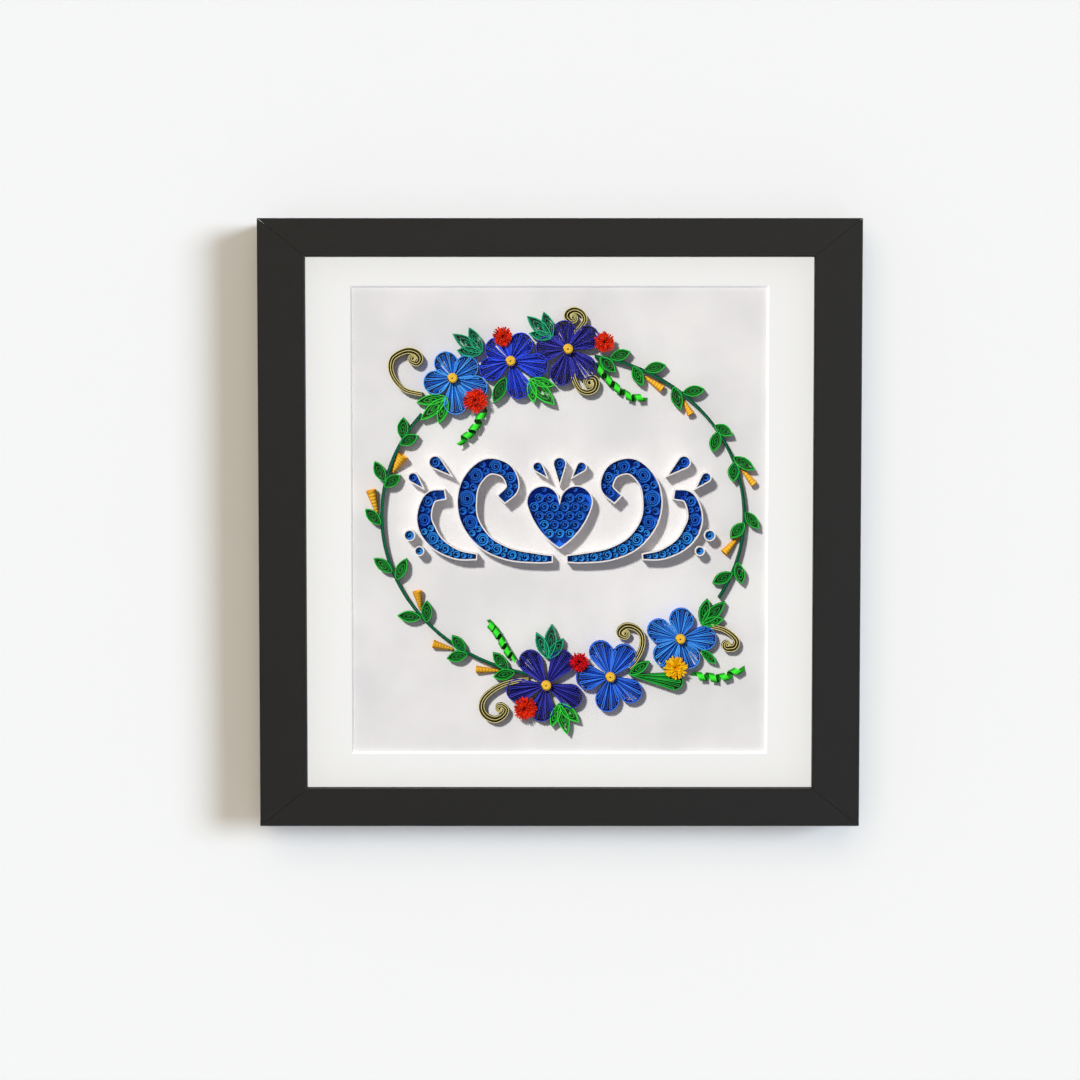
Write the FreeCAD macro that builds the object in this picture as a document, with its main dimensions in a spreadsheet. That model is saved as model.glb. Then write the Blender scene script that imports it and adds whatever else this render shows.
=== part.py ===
import math
import os

import FreeCAD
import Part
import Sketcher
from FreeCAD import Placement, Rotation, Vector

doc = FreeCAD.newDocument("QuilledPicture")

# Driving sizes, in millimetres
# The picture is sized from the inside out: the wreath's ring, the mat's window round it,
# the mat that shows, and the moulding's face. X runs to the right, Y to the back, Z up.
SIZES = [
    ("ring_half_width", 92.9),
    ("ring_half_height", 82.9),
    ("ring_centre_side", 1.7),
    ("ring_centre_rise", 3.9),
    ("window_side_gap", 12.9),
    ("window_end_gap", 36.0),
    ("window_rise", 1.2),
    ("mat_side_margin", 22.7),
    ("mat_end_margin", 15.8),
    ("stile_face", 24.0),
    ("rail_face", 19.3),
    ("frame_depth", 25.0),
    ("lip_depth", 3.0),
    ("rebate_width", 6.0),
    ("edge_rounding", 0.6),
    ("mitre_gap", 0.2),
    ("glazing_thickness", 2.0),
    ("air_gap", 7.5),
    ("board_clearance", 0.5),
    ("spacer_width", 4.5),
    ("mat_thickness", 1.4),
    ("bevel_run", 0.8),
    ("ground_thickness", 1.5),
    ("backing_thickness", 3.0),
    ("nail_leg", 4.0),
    ("nail_thickness", 0.5),
    ("nail_drive", 7.0),
    ("point_length", 12.0),
    ("point_width", 7.0),
    ("point_thickness", 0.5),
    ("hanger_length", 45.0),
    ("hanger_height", 8.0),
    ("hanger_thickness", 1.0),
    ("tooth_depth", 1.3),
    ("hanger_edge", 2.2),
    ("hanger_clearance", 0.3),
    ("hook_pocket_depth", 5.0),
    ("hook_pocket_length", 26.0),
    ("hanger_nail_inset", 4.0),
    ("hanger_nail_radius", 0.7),
    ("hanger_head_radius", 1.7),
    ("hanger_head_thickness", 0.6),
    ("hanger_nail_length", 9.0),
    ("strip_width", 4.0),
    ("strip_rim", 0.7),
    ("coil_groove", 1.2),
    ("piece_clearance", 0.3),
    ("stem_width", 1.5),
    ("leaf_width", 5.8),
    ("petal_width", 12.2),
    ("petal_slot", 1.4),
    ("hub_radius", 2.2),
    ("centre_radius", 2.7),
    ("centre_rise", 2.4),
    ("centre_eye", 0.5),
    ("fringe_core", 1.3),
    ("fringe_lift", 0.3),
    ("fringe_rise", 2.0),
    ("scroll_width", 3.4),
    ("tendril_width", 1.1),
    ("tendril_height", 3.2),
    ("cone_narrow", 0.7),
    ("ornament_height", 6.0),
    ("ornament_wall", 0.6),
    ("ornament_coil_height", 5.0),
    ("coil_gap", 0.15),
]

sheet = doc.addObject("Spreadsheet::Sheet", "Sizes")
for row, (alias, value) in enumerate(SIZES, start=1):
    sheet.set("A%d" % row, alias)
    sheet.set("B%d" % row, str(value))
    sheet.setAlias("B%d" % row, alias)
doc.recompute()


def size(alias):
    """One driving size, read from the sheet."""
    return float(sheet.get(alias))


# Places that several pieces share, as expressions on the sheet
WINDOW_HALF_WIDTH = "(Sizes.ring_half_width + Sizes.window_side_gap)"
WINDOW_HALF_HEIGHT = "(Sizes.ring_half_height + Sizes.window_end_gap)"
SIGHT_HALF_WIDTH = "(%s + Sizes.mat_side_margin)" % WINDOW_HALF_WIDTH
SIGHT_HEIGHT = "(2 * (%s + Sizes.mat_end_margin))" % WINDOW_HALF_HEIGHT
HALF_WIDTH = "(%s + Sizes.stile_face)" % SIGHT_HALF_WIDTH
HEIGHT = "(%s + 2 * Sizes.rail_face)" % SIGHT_HEIGHT
MIDDLE = "(%s / 2)" % HEIGHT
BACK = "(Sizes.frame_depth / 2)"
FRONT = "(-Sizes.frame_depth / 2)"
GLAZING_Y = "(%s + Sizes.lip_depth)" % FRONT
SPACER_Y = "(%s + Sizes.glazing_thickness)" % GLAZING_Y
GROUND_Y = "(%s + Sizes.air_gap)" % SPACER_Y
BACKING_Y = "(%s + Sizes.ground_thickness)" % GROUND_Y
BOARD_HALF_WIDTH = "(%s + Sizes.rebate_width - Sizes.board_clearance)" % SIGHT_HALF_WIDTH
BOARD_BOTTOM = "(Sizes.rail_face - Sizes.rebate_width + Sizes.board_clearance)"
BOARD_HEIGHT = "(%s - 2 * %s)" % (HEIGHT, BOARD_BOTTOM)

frame_half_width = (
    size("ring_half_width") + size("window_side_gap") + size("mat_side_margin") + size("stile_face")
)
frame_height = 2 * (
    size("ring_half_height") + size("window_end_gap") + size("mat_end_margin") + size("rail_face")
)
ground_y = (
    -size("frame_depth") / 2 + size("lip_depth") + size("glazing_thickness") + size("air_gap")
)
points_y = ground_y + size("ground_thickness") + size("backing_thickness")

nodes = []


def finish(piece, label):
    """Names a finished piece and puts it on the list that is written out."""
    piece.Label = label
    nodes.append(piece)
    return piece


def bind(piece, **expressions):
    """Ties properties of a piece to the sheet."""
    for name, expression in expressions.items():
        piece.setExpression(name, expression)


def place(piece, x="0", y="0", z="0"):
    """Ties a piece's place to the sheet."""
    piece.setExpression("Placement.Base.x", x)
    piece.setExpression("Placement.Base.y", y)
    piece.setExpression("Placement.Base.z", z)


def sheet_box(label, half_width, y, z, thickness, height):
    """A flat board or pane, centred from side to side."""
    box = doc.addObject("Part::Box", label)
    bind(box, Length="2 * " + half_width, Width=thickness, Height=height)
    place(box, "-" + half_width, y, z)
    return box


def origin_plane(body, role):
    return next(feature for feature in body.Origin.OriginFeatures if feature.Role == role)


def front_sketch(body, name, y):
    """A sketch seen from the front, X to the right and Z up, at the depth y."""
    sketch = body.newObject("Sketcher::SketchObject", name)
    sketch.AttachmentSupport = [(origin_plane(body, "XZ_Plane"), "")]
    sketch.MapMode = "FlatFace"
    sketch.setExpression("AttachmentOffset.Base.z", "-" + y)
    return sketch


def pinned_outline(sketch, corners):
    """A closed outline whose corners are each tied to the sheet, as pairs of expressions."""
    first = sketch.GeometryCount
    count = len(corners)
    for index in range(count):
        start = Vector(10.0 * math.cos(index), 10.0 * math.sin(index), 0)
        end = Vector(10.0 * math.cos(index + 1), 10.0 * math.sin(index + 1), 0)
        sketch.addGeometry(Part.LineSegment(start, end), False)
    for index in range(count):
        following = first + (index + 1) % count
        sketch.addConstraint(Sketcher.Constraint("Coincident", first + index, 2, following, 1))
    for index, (x, z) in enumerate(corners):
        across = sketch.addConstraint(Sketcher.Constraint("DistanceX", -1, 1, first + index, 1, 1.0))
        sketch.setExpression("Constraints[%d]" % across, x)
        up = sketch.addConstraint(Sketcher.Constraint("DistanceY", -1, 1, first + index, 1, 1.0))
        sketch.setExpression("Constraints[%d]" % up, z)


def rectangle(left, right, bottom, top):
    return [(left, bottom), (right, bottom), (right, top), (left, top)]


def pad(body, sketch, length):
    feature = body.newObject("PartDesign::Pad", sketch.Name + "_pad")
    feature.Profile = sketch
    feature.setExpression("Length", length)
    return feature


def pocket_forward(body, sketch, depth):
    """Cuts from the sketch towards the front, and makes sure that it cut something."""
    doc.recompute()
    before = body.Shape.Volume
    feature = body.newObject("PartDesign::Pocket", sketch.Name + "_pocket")
    feature.Profile = sketch
    feature.Reversed = True
    feature.setExpression("Length", depth)
    doc.recompute()
    if body.Shape.Volume > before - 1:
        raise ValueError(sketch.Name + " cuts nothing")
    return feature


# Corner V-nails
# Folded steel wedges, two across each mitre, driven into the moulding from the back. They
# sit at these shares of the mitre's length from its outer corner.
NAIL_SHARES = (0.38, 0.68)


def corner_nail():
    """One V-nail in plan: its fold on the origin, its legs opening up and down the X axis."""
    leg = size("nail_leg")
    thick = size("nail_thickness")
    legs = []
    for turn in (45, -45):
        plate = Part.makeBox(leg, size("nail_drive"), thick, Vector(0, 0, -thick / 2))
        plate.rotate(Vector(0, 0, 0), Vector(0, 1, 0), turn)
        legs.append(plate)
    return legs[0].fuse(legs[1]).removeSplitter()


def corner_nails():
    across = size("stile_face") - size("rebate_width")
    up = size("rail_face") - size("rebate_width")
    placed = []
    for side in (-1, 1):
        for level in (0, 1):
            for share in NAIL_SHARES:
                nail = corner_nail()
                inward_x = -side * across
                inward_z = up if level == 0 else -up
                heading = math.degrees(math.atan2(inward_z, inward_x))
                nail.rotate(Vector(0, 0, 0), Vector(0, 1, 0), -heading)
                x = side * frame_half_width + inward_x * share
                z = level * frame_height + inward_z * share
                nail.translate(Vector(x, size("frame_depth") / 2 - size("nail_drive"), z))
                placed.append(nail)
    return Part.makeCompound(placed)


v_nails = doc.addObject("Part::Feature", "v_nails")
v_nails.Shape = corner_nails()
finish(v_nails, "corner_v_nails")

# Framer's points
# Flat steel points pushed into the rebate's walls, over the back of the backing board. They
# are spread by shares of the rebate's half width and half height.
RAIL_POINT_SHARES = (-0.62, 0.0, 0.62)
STILE_POINT_SHARES = (-0.5, 0.5)


def framers_point():
    """One point in plan: its tip drives along +X from the origin, its tail lies on the board."""
    half = size("point_width") / 2
    buried = size("point_length") / 2
    outline = [(-buried, -half), (0, -half), (buried, 0), (0, half), (-buried, half)]
    corners = [Vector(x, 0, z) for x, z in outline]
    face = Part.Face(Part.makePolygon(corners + corners[:1]))
    return face.extrude(Vector(0, size("point_thickness"), 0))


def framers_points():
    wall_x = frame_half_width - size("stile_face") + size("rebate_width")
    wall_z = size("rail_face") - size("rebate_width")
    middle = frame_height / 2
    half_opening = middle - wall_z
    spots = []
    for share in RAIL_POINT_SHARES:
        spots.append((share * wall_x, wall_z, -90))
        spots.append((share * wall_x, frame_height - wall_z, 90))
    for share in STILE_POINT_SHARES:
        spots.append((-wall_x, middle + share * half_opening, 180))
        spots.append((wall_x, middle + share * half_opening, 0))
    placed = []
    for x, z, heading in spots:
        point = framers_point()
        point.rotate(Vector(0, 0, 0), Vector(0, 1, 0), -heading)
        point.translate(Vector(x, points_y, z))
        placed.append(point)
    return Part.makeCompound(placed)


points = doc.addObject("Part::Feature", "points")
points.Shape = framers_points()
finish(points, "backing_points")

# Hanger nails
# Two short nails hold the sawtooth hanger in its recess; heads lie flush with the rail's back.
HANGER_TOP = "(%s - Sizes.hanger_edge)" % HEIGHT
HANGER_BOTTOM = "(%s - Sizes.hanger_height)" % HANGER_TOP
HANGER_MIDDLE = "(%s - Sizes.hanger_height / 2)" % HANGER_TOP
RECESS_DEPTH = "(Sizes.hanger_thickness + Sizes.hanger_head_thickness)"
NAIL_X = "(Sizes.hanger_length / 2 - Sizes.hanger_nail_inset)"

nail_shapes = []
for name, sign in (("left", "-"), ("right", "")):
    shank = doc.addObject("Part::Cylinder", name + "_shank")
    bind(shank, Radius="Sizes.hanger_nail_radius", Height="Sizes.hanger_nail_length")
    head = doc.addObject("Part::Cylinder", name + "_head")
    bind(head, Radius="Sizes.hanger_head_radius", Height="Sizes.hanger_head_thickness")
    for piece in (shank, head):
        piece.Placement = Placement(Vector(0, 0, 0), Rotation(Vector(1, 0, 0), 90))
        place(piece, sign + NAIL_X, BACK, HANGER_MIDDLE)
    nail = doc.addObject("Part::Fuse", name + "_nail")
    nail.Base = head
    nail.Tool = shank
    nail_shapes.append(nail)
hanger_nails = doc.addObject("Part::Compound", "nails_of_hanger")
hanger_nails.Links = nail_shapes
finish(hanger_nails, "hanger_nails")

fixings = doc.addObject("Part::Compound", "frame_fixings")
fixings.Links = [v_nails, points, hanger_nails]

# Moulding
# Four lengths of square-edged moulding, mitred from outer to inner corner, with a rebate
# cut from the back that leaves a thin lip. The joints stay open by a hair.
RAIL_END = "(%s - Sizes.mitre_gap)" % HALF_WIDTH
RAIL_INNER_END = "(%s - Sizes.mitre_gap)" % SIGHT_HALF_WIDTH
INNER_TOP = "(%s - Sizes.rail_face)" % HEIGHT
REBATE_DEPTH = "Sizes.frame_depth - Sizes.lip_depth"


def round_front_edges(body, base):
    """Eases the long edges of the moulding's front face."""
    doc.recompute()
    front = -size("frame_depth") / 2
    names = []
    for index, edge in enumerate(base.Shape.Edges, start=1):
        ends = [vertex.Point for vertex in edge.Vertexes]
        if all(abs(end.y - front) < 1e-6 for end in ends):
            names.append((edge.Length, "Edge%d" % index))
    long_edges = [name for length, name in sorted(names)[-2:]]
    rounding = body.newObject("PartDesign::Fillet", body.Name + "_rounding")
    rounding.Base = (base, long_edges)
    rounding.setExpression("Radius", "Sizes.edge_rounding")
    return rounding


def moulding(label, outline, rebate):
    body = doc.addObject("PartDesign::Body", label + "_blank")
    outline_sketch = front_sketch(body, label + "_outline", BACK)
    pinned_outline(outline_sketch, outline)
    pad(body, outline_sketch, "Sizes.frame_depth")
    rebate_sketch = front_sketch(body, label + "_rebate", BACK)
    pinned_outline(rebate_sketch, rebate)
    cut = pocket_forward(body, rebate_sketch, REBATE_DEPTH)
    return body, cut


def drilled(label, body):
    """Takes the seats of nails and points out of a moulding."""
    piece = doc.addObject("Part::Cut", label + "_cut")
    piece.Base = body
    piece.Tool = fixings
    return finish(piece, label)


top_rail, top_cut = moulding(
    "frame_top_rail",
    [
        ("-" + RAIL_END, HEIGHT),
        ("-" + RAIL_INNER_END, INNER_TOP),
        (RAIL_INNER_END, INNER_TOP),
        (RAIL_END, HEIGHT),
    ],
    rectangle("-" + HALF_WIDTH, HALF_WIDTH, INNER_TOP, INNER_TOP + " + Sizes.rebate_width"),
)
recess = front_sketch(top_rail, "hanger_recess", BACK)
RECESS_X = "(Sizes.hanger_length / 2 + Sizes.hanger_clearance)"
pinned_outline(
    recess,
    rectangle(
        "-" + RECESS_X,
        RECESS_X,
        HANGER_BOTTOM + " - Sizes.hanger_clearance",
        HANGER_TOP + " + Sizes.hanger_clearance",
    ),
)
pocket_forward(top_rail, recess, RECESS_DEPTH)
hook_pocket = front_sketch(top_rail, "hook_pocket", BACK)
pinned_outline(
    hook_pocket,
    rectangle(
        "-Sizes.hook_pocket_length / 2",
        "Sizes.hook_pocket_length / 2",
        INNER_TOP,
        HANGER_MIDDLE,
    ),
)
top_cut = pocket_forward(top_rail, hook_pocket, "Sizes.hook_pocket_depth")
round_front_edges(top_rail, top_cut)
drilled("frame_top_rail", top_rail)

bottom_rail, bottom_cut = moulding(
    "frame_bottom_rail",
    [
        ("-" + RAIL_END, "0"),
        (RAIL_END, "0"),
        (RAIL_INNER_END, "Sizes.rail_face"),
        ("-" + RAIL_INNER_END, "Sizes.rail_face"),
    ],
    rectangle(
        "-" + HALF_WIDTH, HALF_WIDTH, "Sizes.rail_face - Sizes.rebate_width", "Sizes.rail_face"
    ),
)
round_front_edges(bottom_rail, bottom_cut)
drilled("frame_bottom_rail", bottom_rail)

for label, sign in (("frame_left_stile", "-"), ("frame_right_stile", "")):
    edges = [sign + SIGHT_HALF_WIDTH, sign + "(%s + Sizes.rebate_width)" % SIGHT_HALF_WIDTH]
    stile, stile_cut = moulding(
        label,
        [
            (sign + HALF_WIDTH, "0"),
            (sign + HALF_WIDTH, HEIGHT),
            (sign + SIGHT_HALF_WIDTH, INNER_TOP),
            (sign + SIGHT_HALF_WIDTH, "Sizes.rail_face"),
        ],
        rectangle(edges[0], edges[1], "0", HEIGHT),
    )
    round_front_edges(stile, stile_cut)
    drilled(label, stile)

# Sawtooth hanger
# A strip of steel with a toothed lower edge, nailed in a recess of the top rail. A pocket
# behind and below its teeth leaves room for the head of a wall nail.
# The middle of its length is toothed, by this share
TOOTHED_SHARE = 0.5
TOOTH_COUNT = 9
hanger = doc.addObject("PartDesign::Body", "hanger_body")
hanger_sketch = front_sketch(hanger, "hanger_outline", "(%s - Sizes.hanger_head_thickness)" % BACK)
teeth = [("-Sizes.hanger_length / 2", HANGER_BOTTOM)]
for tooth in range(TOOTH_COUNT):
    start = (tooth / TOOTH_COUNT - 0.5) * TOOTHED_SHARE
    middle = ((tooth + 0.5) / TOOTH_COUNT - 0.5) * TOOTHED_SHARE
    teeth.append(("Sizes.hanger_length * (%.5f)" % start, HANGER_BOTTOM))
    teeth.append(("Sizes.hanger_length * (%.5f)" % middle, HANGER_BOTTOM + " + Sizes.tooth_depth"))
teeth.append(("Sizes.hanger_length * %.5f" % (TOOTHED_SHARE / 2), HANGER_BOTTOM))
teeth.append(("Sizes.hanger_length / 2", HANGER_BOTTOM))
teeth.append(("Sizes.hanger_length / 2", HANGER_TOP))
teeth.append(("-Sizes.hanger_length / 2", HANGER_TOP))
pinned_outline(hanger_sketch, teeth)
pad(hanger, hanger_sketch, "Sizes.hanger_thickness")
pierced = doc.addObject("Part::Cut", "pierced_hanger")
pierced.Base = hanger
pierced.Tool = hanger_nails
finish(pierced, "sawtooth_hanger")

# Glazing, spacers, mat, ground and backing
# The stack lies in the rebate: clear sheet, spacer strips, mat, the art's ground, backing.
glazing = sheet_box(
    "glazing", BOARD_HALF_WIDTH, GLAZING_Y, BOARD_BOTTOM, "Sizes.glazing_thickness", BOARD_HEIGHT
)
finish(glazing, "glazing_sheet")

SPACER_DEPTH = "(Sizes.air_gap - Sizes.mat_thickness)"
for label, z in (
    ("spacer_bottom", BOARD_BOTTOM),
    ("spacer_top", "(%s + %s - Sizes.spacer_width)" % (BOARD_BOTTOM, BOARD_HEIGHT)),
):
    strip = sheet_box(
        label + "_strip", BOARD_HALF_WIDTH, SPACER_Y, z, SPACER_DEPTH, "Sizes.spacer_width"
    )
    finish(strip, label)
for label, x in (
    ("spacer_left", "-" + BOARD_HALF_WIDTH),
    ("spacer_right", "%s - Sizes.spacer_width" % BOARD_HALF_WIDTH),
):
    strip = doc.addObject("Part::Box", label + "_strip")
    bind(
        strip,
        Length="Sizes.spacer_width",
        Width=SPACER_DEPTH,
        Height=BOARD_HEIGHT + " - 2 * Sizes.spacer_width",
    )
    place(strip, x, SPACER_Y, BOARD_BOTTOM + " + Sizes.spacer_width")
    finish(strip, label)

MAT_Y = "(%s - Sizes.mat_thickness)" % GROUND_Y
mat_sheet = sheet_box(
    "mat_sheet", BOARD_HALF_WIDTH, MAT_Y, BOARD_BOTTOM, "Sizes.mat_thickness", BOARD_HEIGHT
)
window = doc.addObject("Part::Wedge", "mat_window")
WINDOW_Z = "(%s + Sizes.window_rise)" % MIDDLE
bind(
    window,
    Ymin=MAT_Y,
    Ymax=GROUND_Y,
    Xmin="-%s - Sizes.bevel_run" % WINDOW_HALF_WIDTH,
    Xmax="%s + Sizes.bevel_run" % WINDOW_HALF_WIDTH,
    Zmin="%s - %s - Sizes.bevel_run" % (WINDOW_Z, WINDOW_HALF_HEIGHT),
    Zmax="%s + %s + Sizes.bevel_run" % (WINDOW_Z, WINDOW_HALF_HEIGHT),
    X2min="-" + WINDOW_HALF_WIDTH,
    X2max=WINDOW_HALF_WIDTH,
    Z2min="%s - %s" % (WINDOW_Z, WINDOW_HALF_HEIGHT),
    Z2max="%s + %s" % (WINDOW_Z, WINDOW_HALF_HEIGHT),
)
mat = doc.addObject("Part::Cut", "cut_mat")
mat.Base = mat_sheet
mat.Tool = window
finish(mat, "mat_board")

ground = sheet_box(
    "ground", BOARD_HALF_WIDTH, GROUND_Y, BOARD_BOTTOM, "Sizes.ground_thickness", BOARD_HEIGHT
)
finish(ground, "art_ground_sheet")
backing = sheet_box(
    "backing", BOARD_HALF_WIDTH, BACKING_Y, BOARD_BOTTOM, "Sizes.backing_thickness", BOARD_HEIGHT
)
finish(backing, "backing_board")

# Plans of the quilled pieces
# A quilled piece is a paper strip on edge, so it is a flat plan raised to the strip's width.
# Plans lie in the plane of the ground, X to the right and Z up from the frame's middle.
# Trimming leaves crumbs of plans, which are dropped below this area in square millimetres.
SMALLEST_PLAN = 6.0
# A leaf's groove is cut between one and this many strip rims in from its outline
GROOVE_RIMS = 1.8
keep_clear = []


def spot(x, z):
    return Vector(x, 0, z)


def toward(heading):
    """The direction of a heading in degrees, counted from the right towards the top."""
    angle = math.radians(heading)
    return Vector(math.cos(angle), 0, math.sin(angle))


def ring_spot(station, offset=0.0):
    """A place beside the wreath's ring: station in degrees, offset outwards from the ring."""
    angle = math.radians(station)
    half_width = size("ring_half_width")
    half_height = size("ring_half_height")
    on_ring = spot(
        size("ring_centre_side") + half_width * math.cos(angle),
        size("ring_centre_rise") + half_height * math.sin(angle),
    )
    outward = Vector(half_height * math.cos(angle), 0, half_width * math.sin(angle)).normalize()
    return on_ring + outward * offset


def flat_face(edges):
    """A flat face that looks to the front, bounded by edges or curves in order."""
    wire = Part.Wire([edge.toShape() if hasattr(edge, "toShape") else edge for edge in edges])
    face = Part.Face(wire)
    if face.normalAt(0, 0).y > 0:
        face.reverse()
    return face


def flat_polygon(corners):
    sides = zip(corners, corners[1:] + corners[:1])
    return flat_face([Part.LineSegment(start, end) for start, end in sides])


def marquise(base, tip, width):
    """A leaf shape: two arcs that meet in points."""
    along = (tip - base).normalize()
    side = Vector(-along.z, 0, along.x) * (width / 2)
    middle = (base + tip) / 2
    return flat_face([Part.Arc(base, middle + side, tip), Part.Arc(tip, middle - side, base)])


def teardrop(base, tip, width):
    """A petal shape: a point at the base and a round end."""
    along = (tip - base).normalize()
    side = Vector(-along.z, 0, along.x)
    radius = width / 2
    middle = tip - along * radius
    reach = (middle - base).Length
    lean = math.asin(radius / reach)
    back = along * (-radius * math.sin(lean))
    wide = side * (radius * math.cos(lean))
    first = middle + back + wide
    second = middle + back - wide
    return flat_face(
        [Part.LineSegment(base, first), Part.Arc(first, tip, second), Part.LineSegment(second, base)]
    )


def disc(centre, radius):
    return flat_face([Part.Circle(centre, Vector(0, -1, 0), radius)])


def smooth(points):
    curve = Part.BSplineCurve()
    curve.interpolate(points)
    return curve


def width_at(share, widths):
    """The width at a share of a line, from its widths at the start, the middle and the end."""
    start, middle, end = widths
    if share < 0.5:
        return start + (middle - start) * share * 2
    return middle + (end - middle) * (share * 2 - 1)


def band(points, widths):
    """A strip's plan along a smooth line: widths at the start, the middle and the end."""
    line = smooth(points)
    first, last = line.FirstParameter, line.LastParameter
    count = 2 * len(points)
    left, right = [], []
    for index in range(count + 1):
        share = index / count
        place_on_line = first + (last - first) * share
        centre = line.value(place_on_line)
        along = line.tangent(place_on_line)[0]
        side = Vector(-along.z, 0, along.x).normalize()
        half = width_at(share, widths) / 2
        left.append(centre + side * half)
        right.append(centre - side * half)
    return flat_face(
        [
            smooth(left),
            Part.LineSegment(left[-1], right[-1]),
            smooth(right[::-1]),
            Part.LineSegment(right[0], left[0]),
        ]
    )


def joined(faces):
    """Flat faces joined into one."""
    return faces[0].multiFuse(faces[1:]).removeSplitter()


def largest(shape):
    """The largest face of a flat shape, so that no loose crumbs are left of it."""
    return max(shape.Faces, key=lambda face: face.Area)


def without_crumbs(shape):
    """The faces of a flat shape that are large enough to be a piece of strip."""
    kept = [face for face in shape.Faces if face.Area > SMALLEST_PLAN]
    return kept[0] if len(kept) == 1 else Part.makeCompound(kept)


def trimmed(plan, outer_plan):
    """Takes earlier pieces and a clearance out of a plan, then lists this piece as one of them."""
    if keep_clear:
        near = [face for face in keep_clear if face.BoundBox.intersect(plan.BoundBox)]
        if near:
            plan = without_crumbs(plan.cut(near))
    keep_clear.extend(outer_plan.Faces)
    return plan


def raised(label, plan, height, grooves=None):
    """Raises a plan from the ground, and cuts grooves into its top edge."""
    flat_plan = doc.addObject("Part::Feature", label + "_plan")
    flat_plan.Shape = plan
    solid = doc.addObject("Part::Extrusion", label + "_strips")
    solid.Base = flat_plan
    solid.DirMode = "Custom"
    solid.Dir = Vector(0, -1, 0)
    solid.Solid = True
    solid.setExpression("LengthFwd", height)
    piece = solid
    if grooves:
        groove_plan = doc.addObject("Part::Feature", label + "_groove_plan")
        groove_plan.Shape = Part.makeCompound(grooves)
        groove = doc.addObject("Part::Extrusion", label + "_grooves")
        groove.Base = groove_plan
        groove.DirMode = "Custom"
        groove.Dir = Vector(0, -1, 0)
        groove.Solid = True
        groove.setExpression("LengthFwd", "%s + Sizes.coil_groove" % height)
        groove.setExpression("LengthRev", "Sizes.coil_groove - %s" % height)
        piece = doc.addObject("Part::Cut", label + "_coiled")
        piece.Base = solid
        piece.Tool = groove
    place(piece, "0", GROUND_Y, MIDDLE)
    return finish(piece, label)


def leaf_parts(base, heading, length, width):
    """A loose coil pinched at both ends: its plan, the room it needs, and its coil's grooves."""
    along = toward(heading)
    tip = base + along * length
    clear = size("piece_clearance")
    rim = size("strip_rim")
    slope = length / width
    plan = marquise(base, tip, width)
    room = marquise(base - along * clear * slope, tip + along * clear * slope, width + 2 * clear)
    inset = rim * slope
    outer = marquise(base + along * inset, tip - along * inset, width - 2 * rim)
    deep_rim = GROOVE_RIMS * rim
    inset = deep_rim * slope
    inner = marquise(base + along * inset, tip - along * inset, width - 2 * deep_rim)
    return plan, room, outer.cut(inner).Faces


def leaves(label, leaf_list, stems):
    """Leaves on one stem: a stem plan, and a list of base, heading, length and width."""
    plans = list(stems)
    rooms = list(stems)
    grooves = []
    for base, heading, length, width in leaf_list:
        plan, room, leaf_grooves = leaf_parts(base, heading, length, width)
        plans.append(plan)
        rooms.append(room)
        grooves.extend(leaf_grooves)
    plan = trimmed(without_crumbs(joined(plans)), joined(rooms))
    inside = [groove for groove in grooves if plan.common(groove).Area > groove.Area * 0.98]
    return raised(label, plan, "Sizes.strip_width", inside)


# Fringed flowers
# A fringed strip rolled up tight: a slim core on the ground and a flared head of fringe
# above the petals beside it. Each is placed by its station on the ring and its offset.
FRINGED = [
    ("top_red_fringed_flower", 107.1, 12.3, 5.5),
    ("right_red_fringed_flower", 77.8, 7.3, 5.8),
    ("left_red_fringed_flower", 123.1, -12.4, 6.8),
    ("crimson_fringed_flower", 275.6, -7.7, 5.5),
    ("bottom_red_fringed_flower", 259.7, 17.3, 6.5),
    ("yellow_fringed_flower", 304.1, 10.7, 6.5),
]
# The head's profile and its cuts, as shares of its radius
UNDERSIDE_SHARE = 0.8
CROWN_SHARE = 0.75
FRINGE_CUTS = 14
CUT_START = 0.5
CUT_END = 1.2
CUT_HALF_ANGLE = 5


def fringed_head(radius):
    core = size("fringe_core")
    floor = size("strip_width") + size("fringe_lift")
    top = floor + size("fringe_rise")
    profile = [
        (0, 0),
        (core, 0),
        (core, floor),
        (radius * UNDERSIDE_SHARE, floor),
        (radius, (floor + top) / 2),
        (radius * CROWN_SHARE, top),
        (0, top - size("fringe_rise") / 4),
    ]
    corners = [Vector(reach, -rise, 0) for reach, rise in profile]
    face = Part.Face(Part.makePolygon(corners + corners[:1]))
    head = face.revolve(Vector(0, 0, 0), Vector(0, 1, 0), 360)
    cuts = []
    for index in range(FRINGE_CUTS):
        turn = 360.0 * index / FRINGE_CUTS
        wedge = [toward(turn) * radius * CUT_START]
        wedge.append(toward(turn - CUT_HALF_ANGLE) * radius * CUT_END)
        wedge.append(toward(turn + CUT_HALF_ANGLE) * radius * CUT_END)
        flat_wedge = Part.Face(Part.makePolygon(wedge + wedge[:1]))
        cuts.append(flat_wedge.extrude(Vector(0, -2 * top, 0)))
    return head.cut(cuts)


for label, station, offset, radius in FRINGED:
    head = doc.addObject("Part::Feature", label + "_roll")
    head.Shape = fringed_head(radius)
    foot = ring_spot(station, offset)
    head.Placement = Placement(Vector(foot.x, ground_y, frame_height / 2 + foot.z), Rotation())
    finish(head, label)
    keep_clear.append(disc(foot, size("fringe_core") + size("piece_clearance")))

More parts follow.
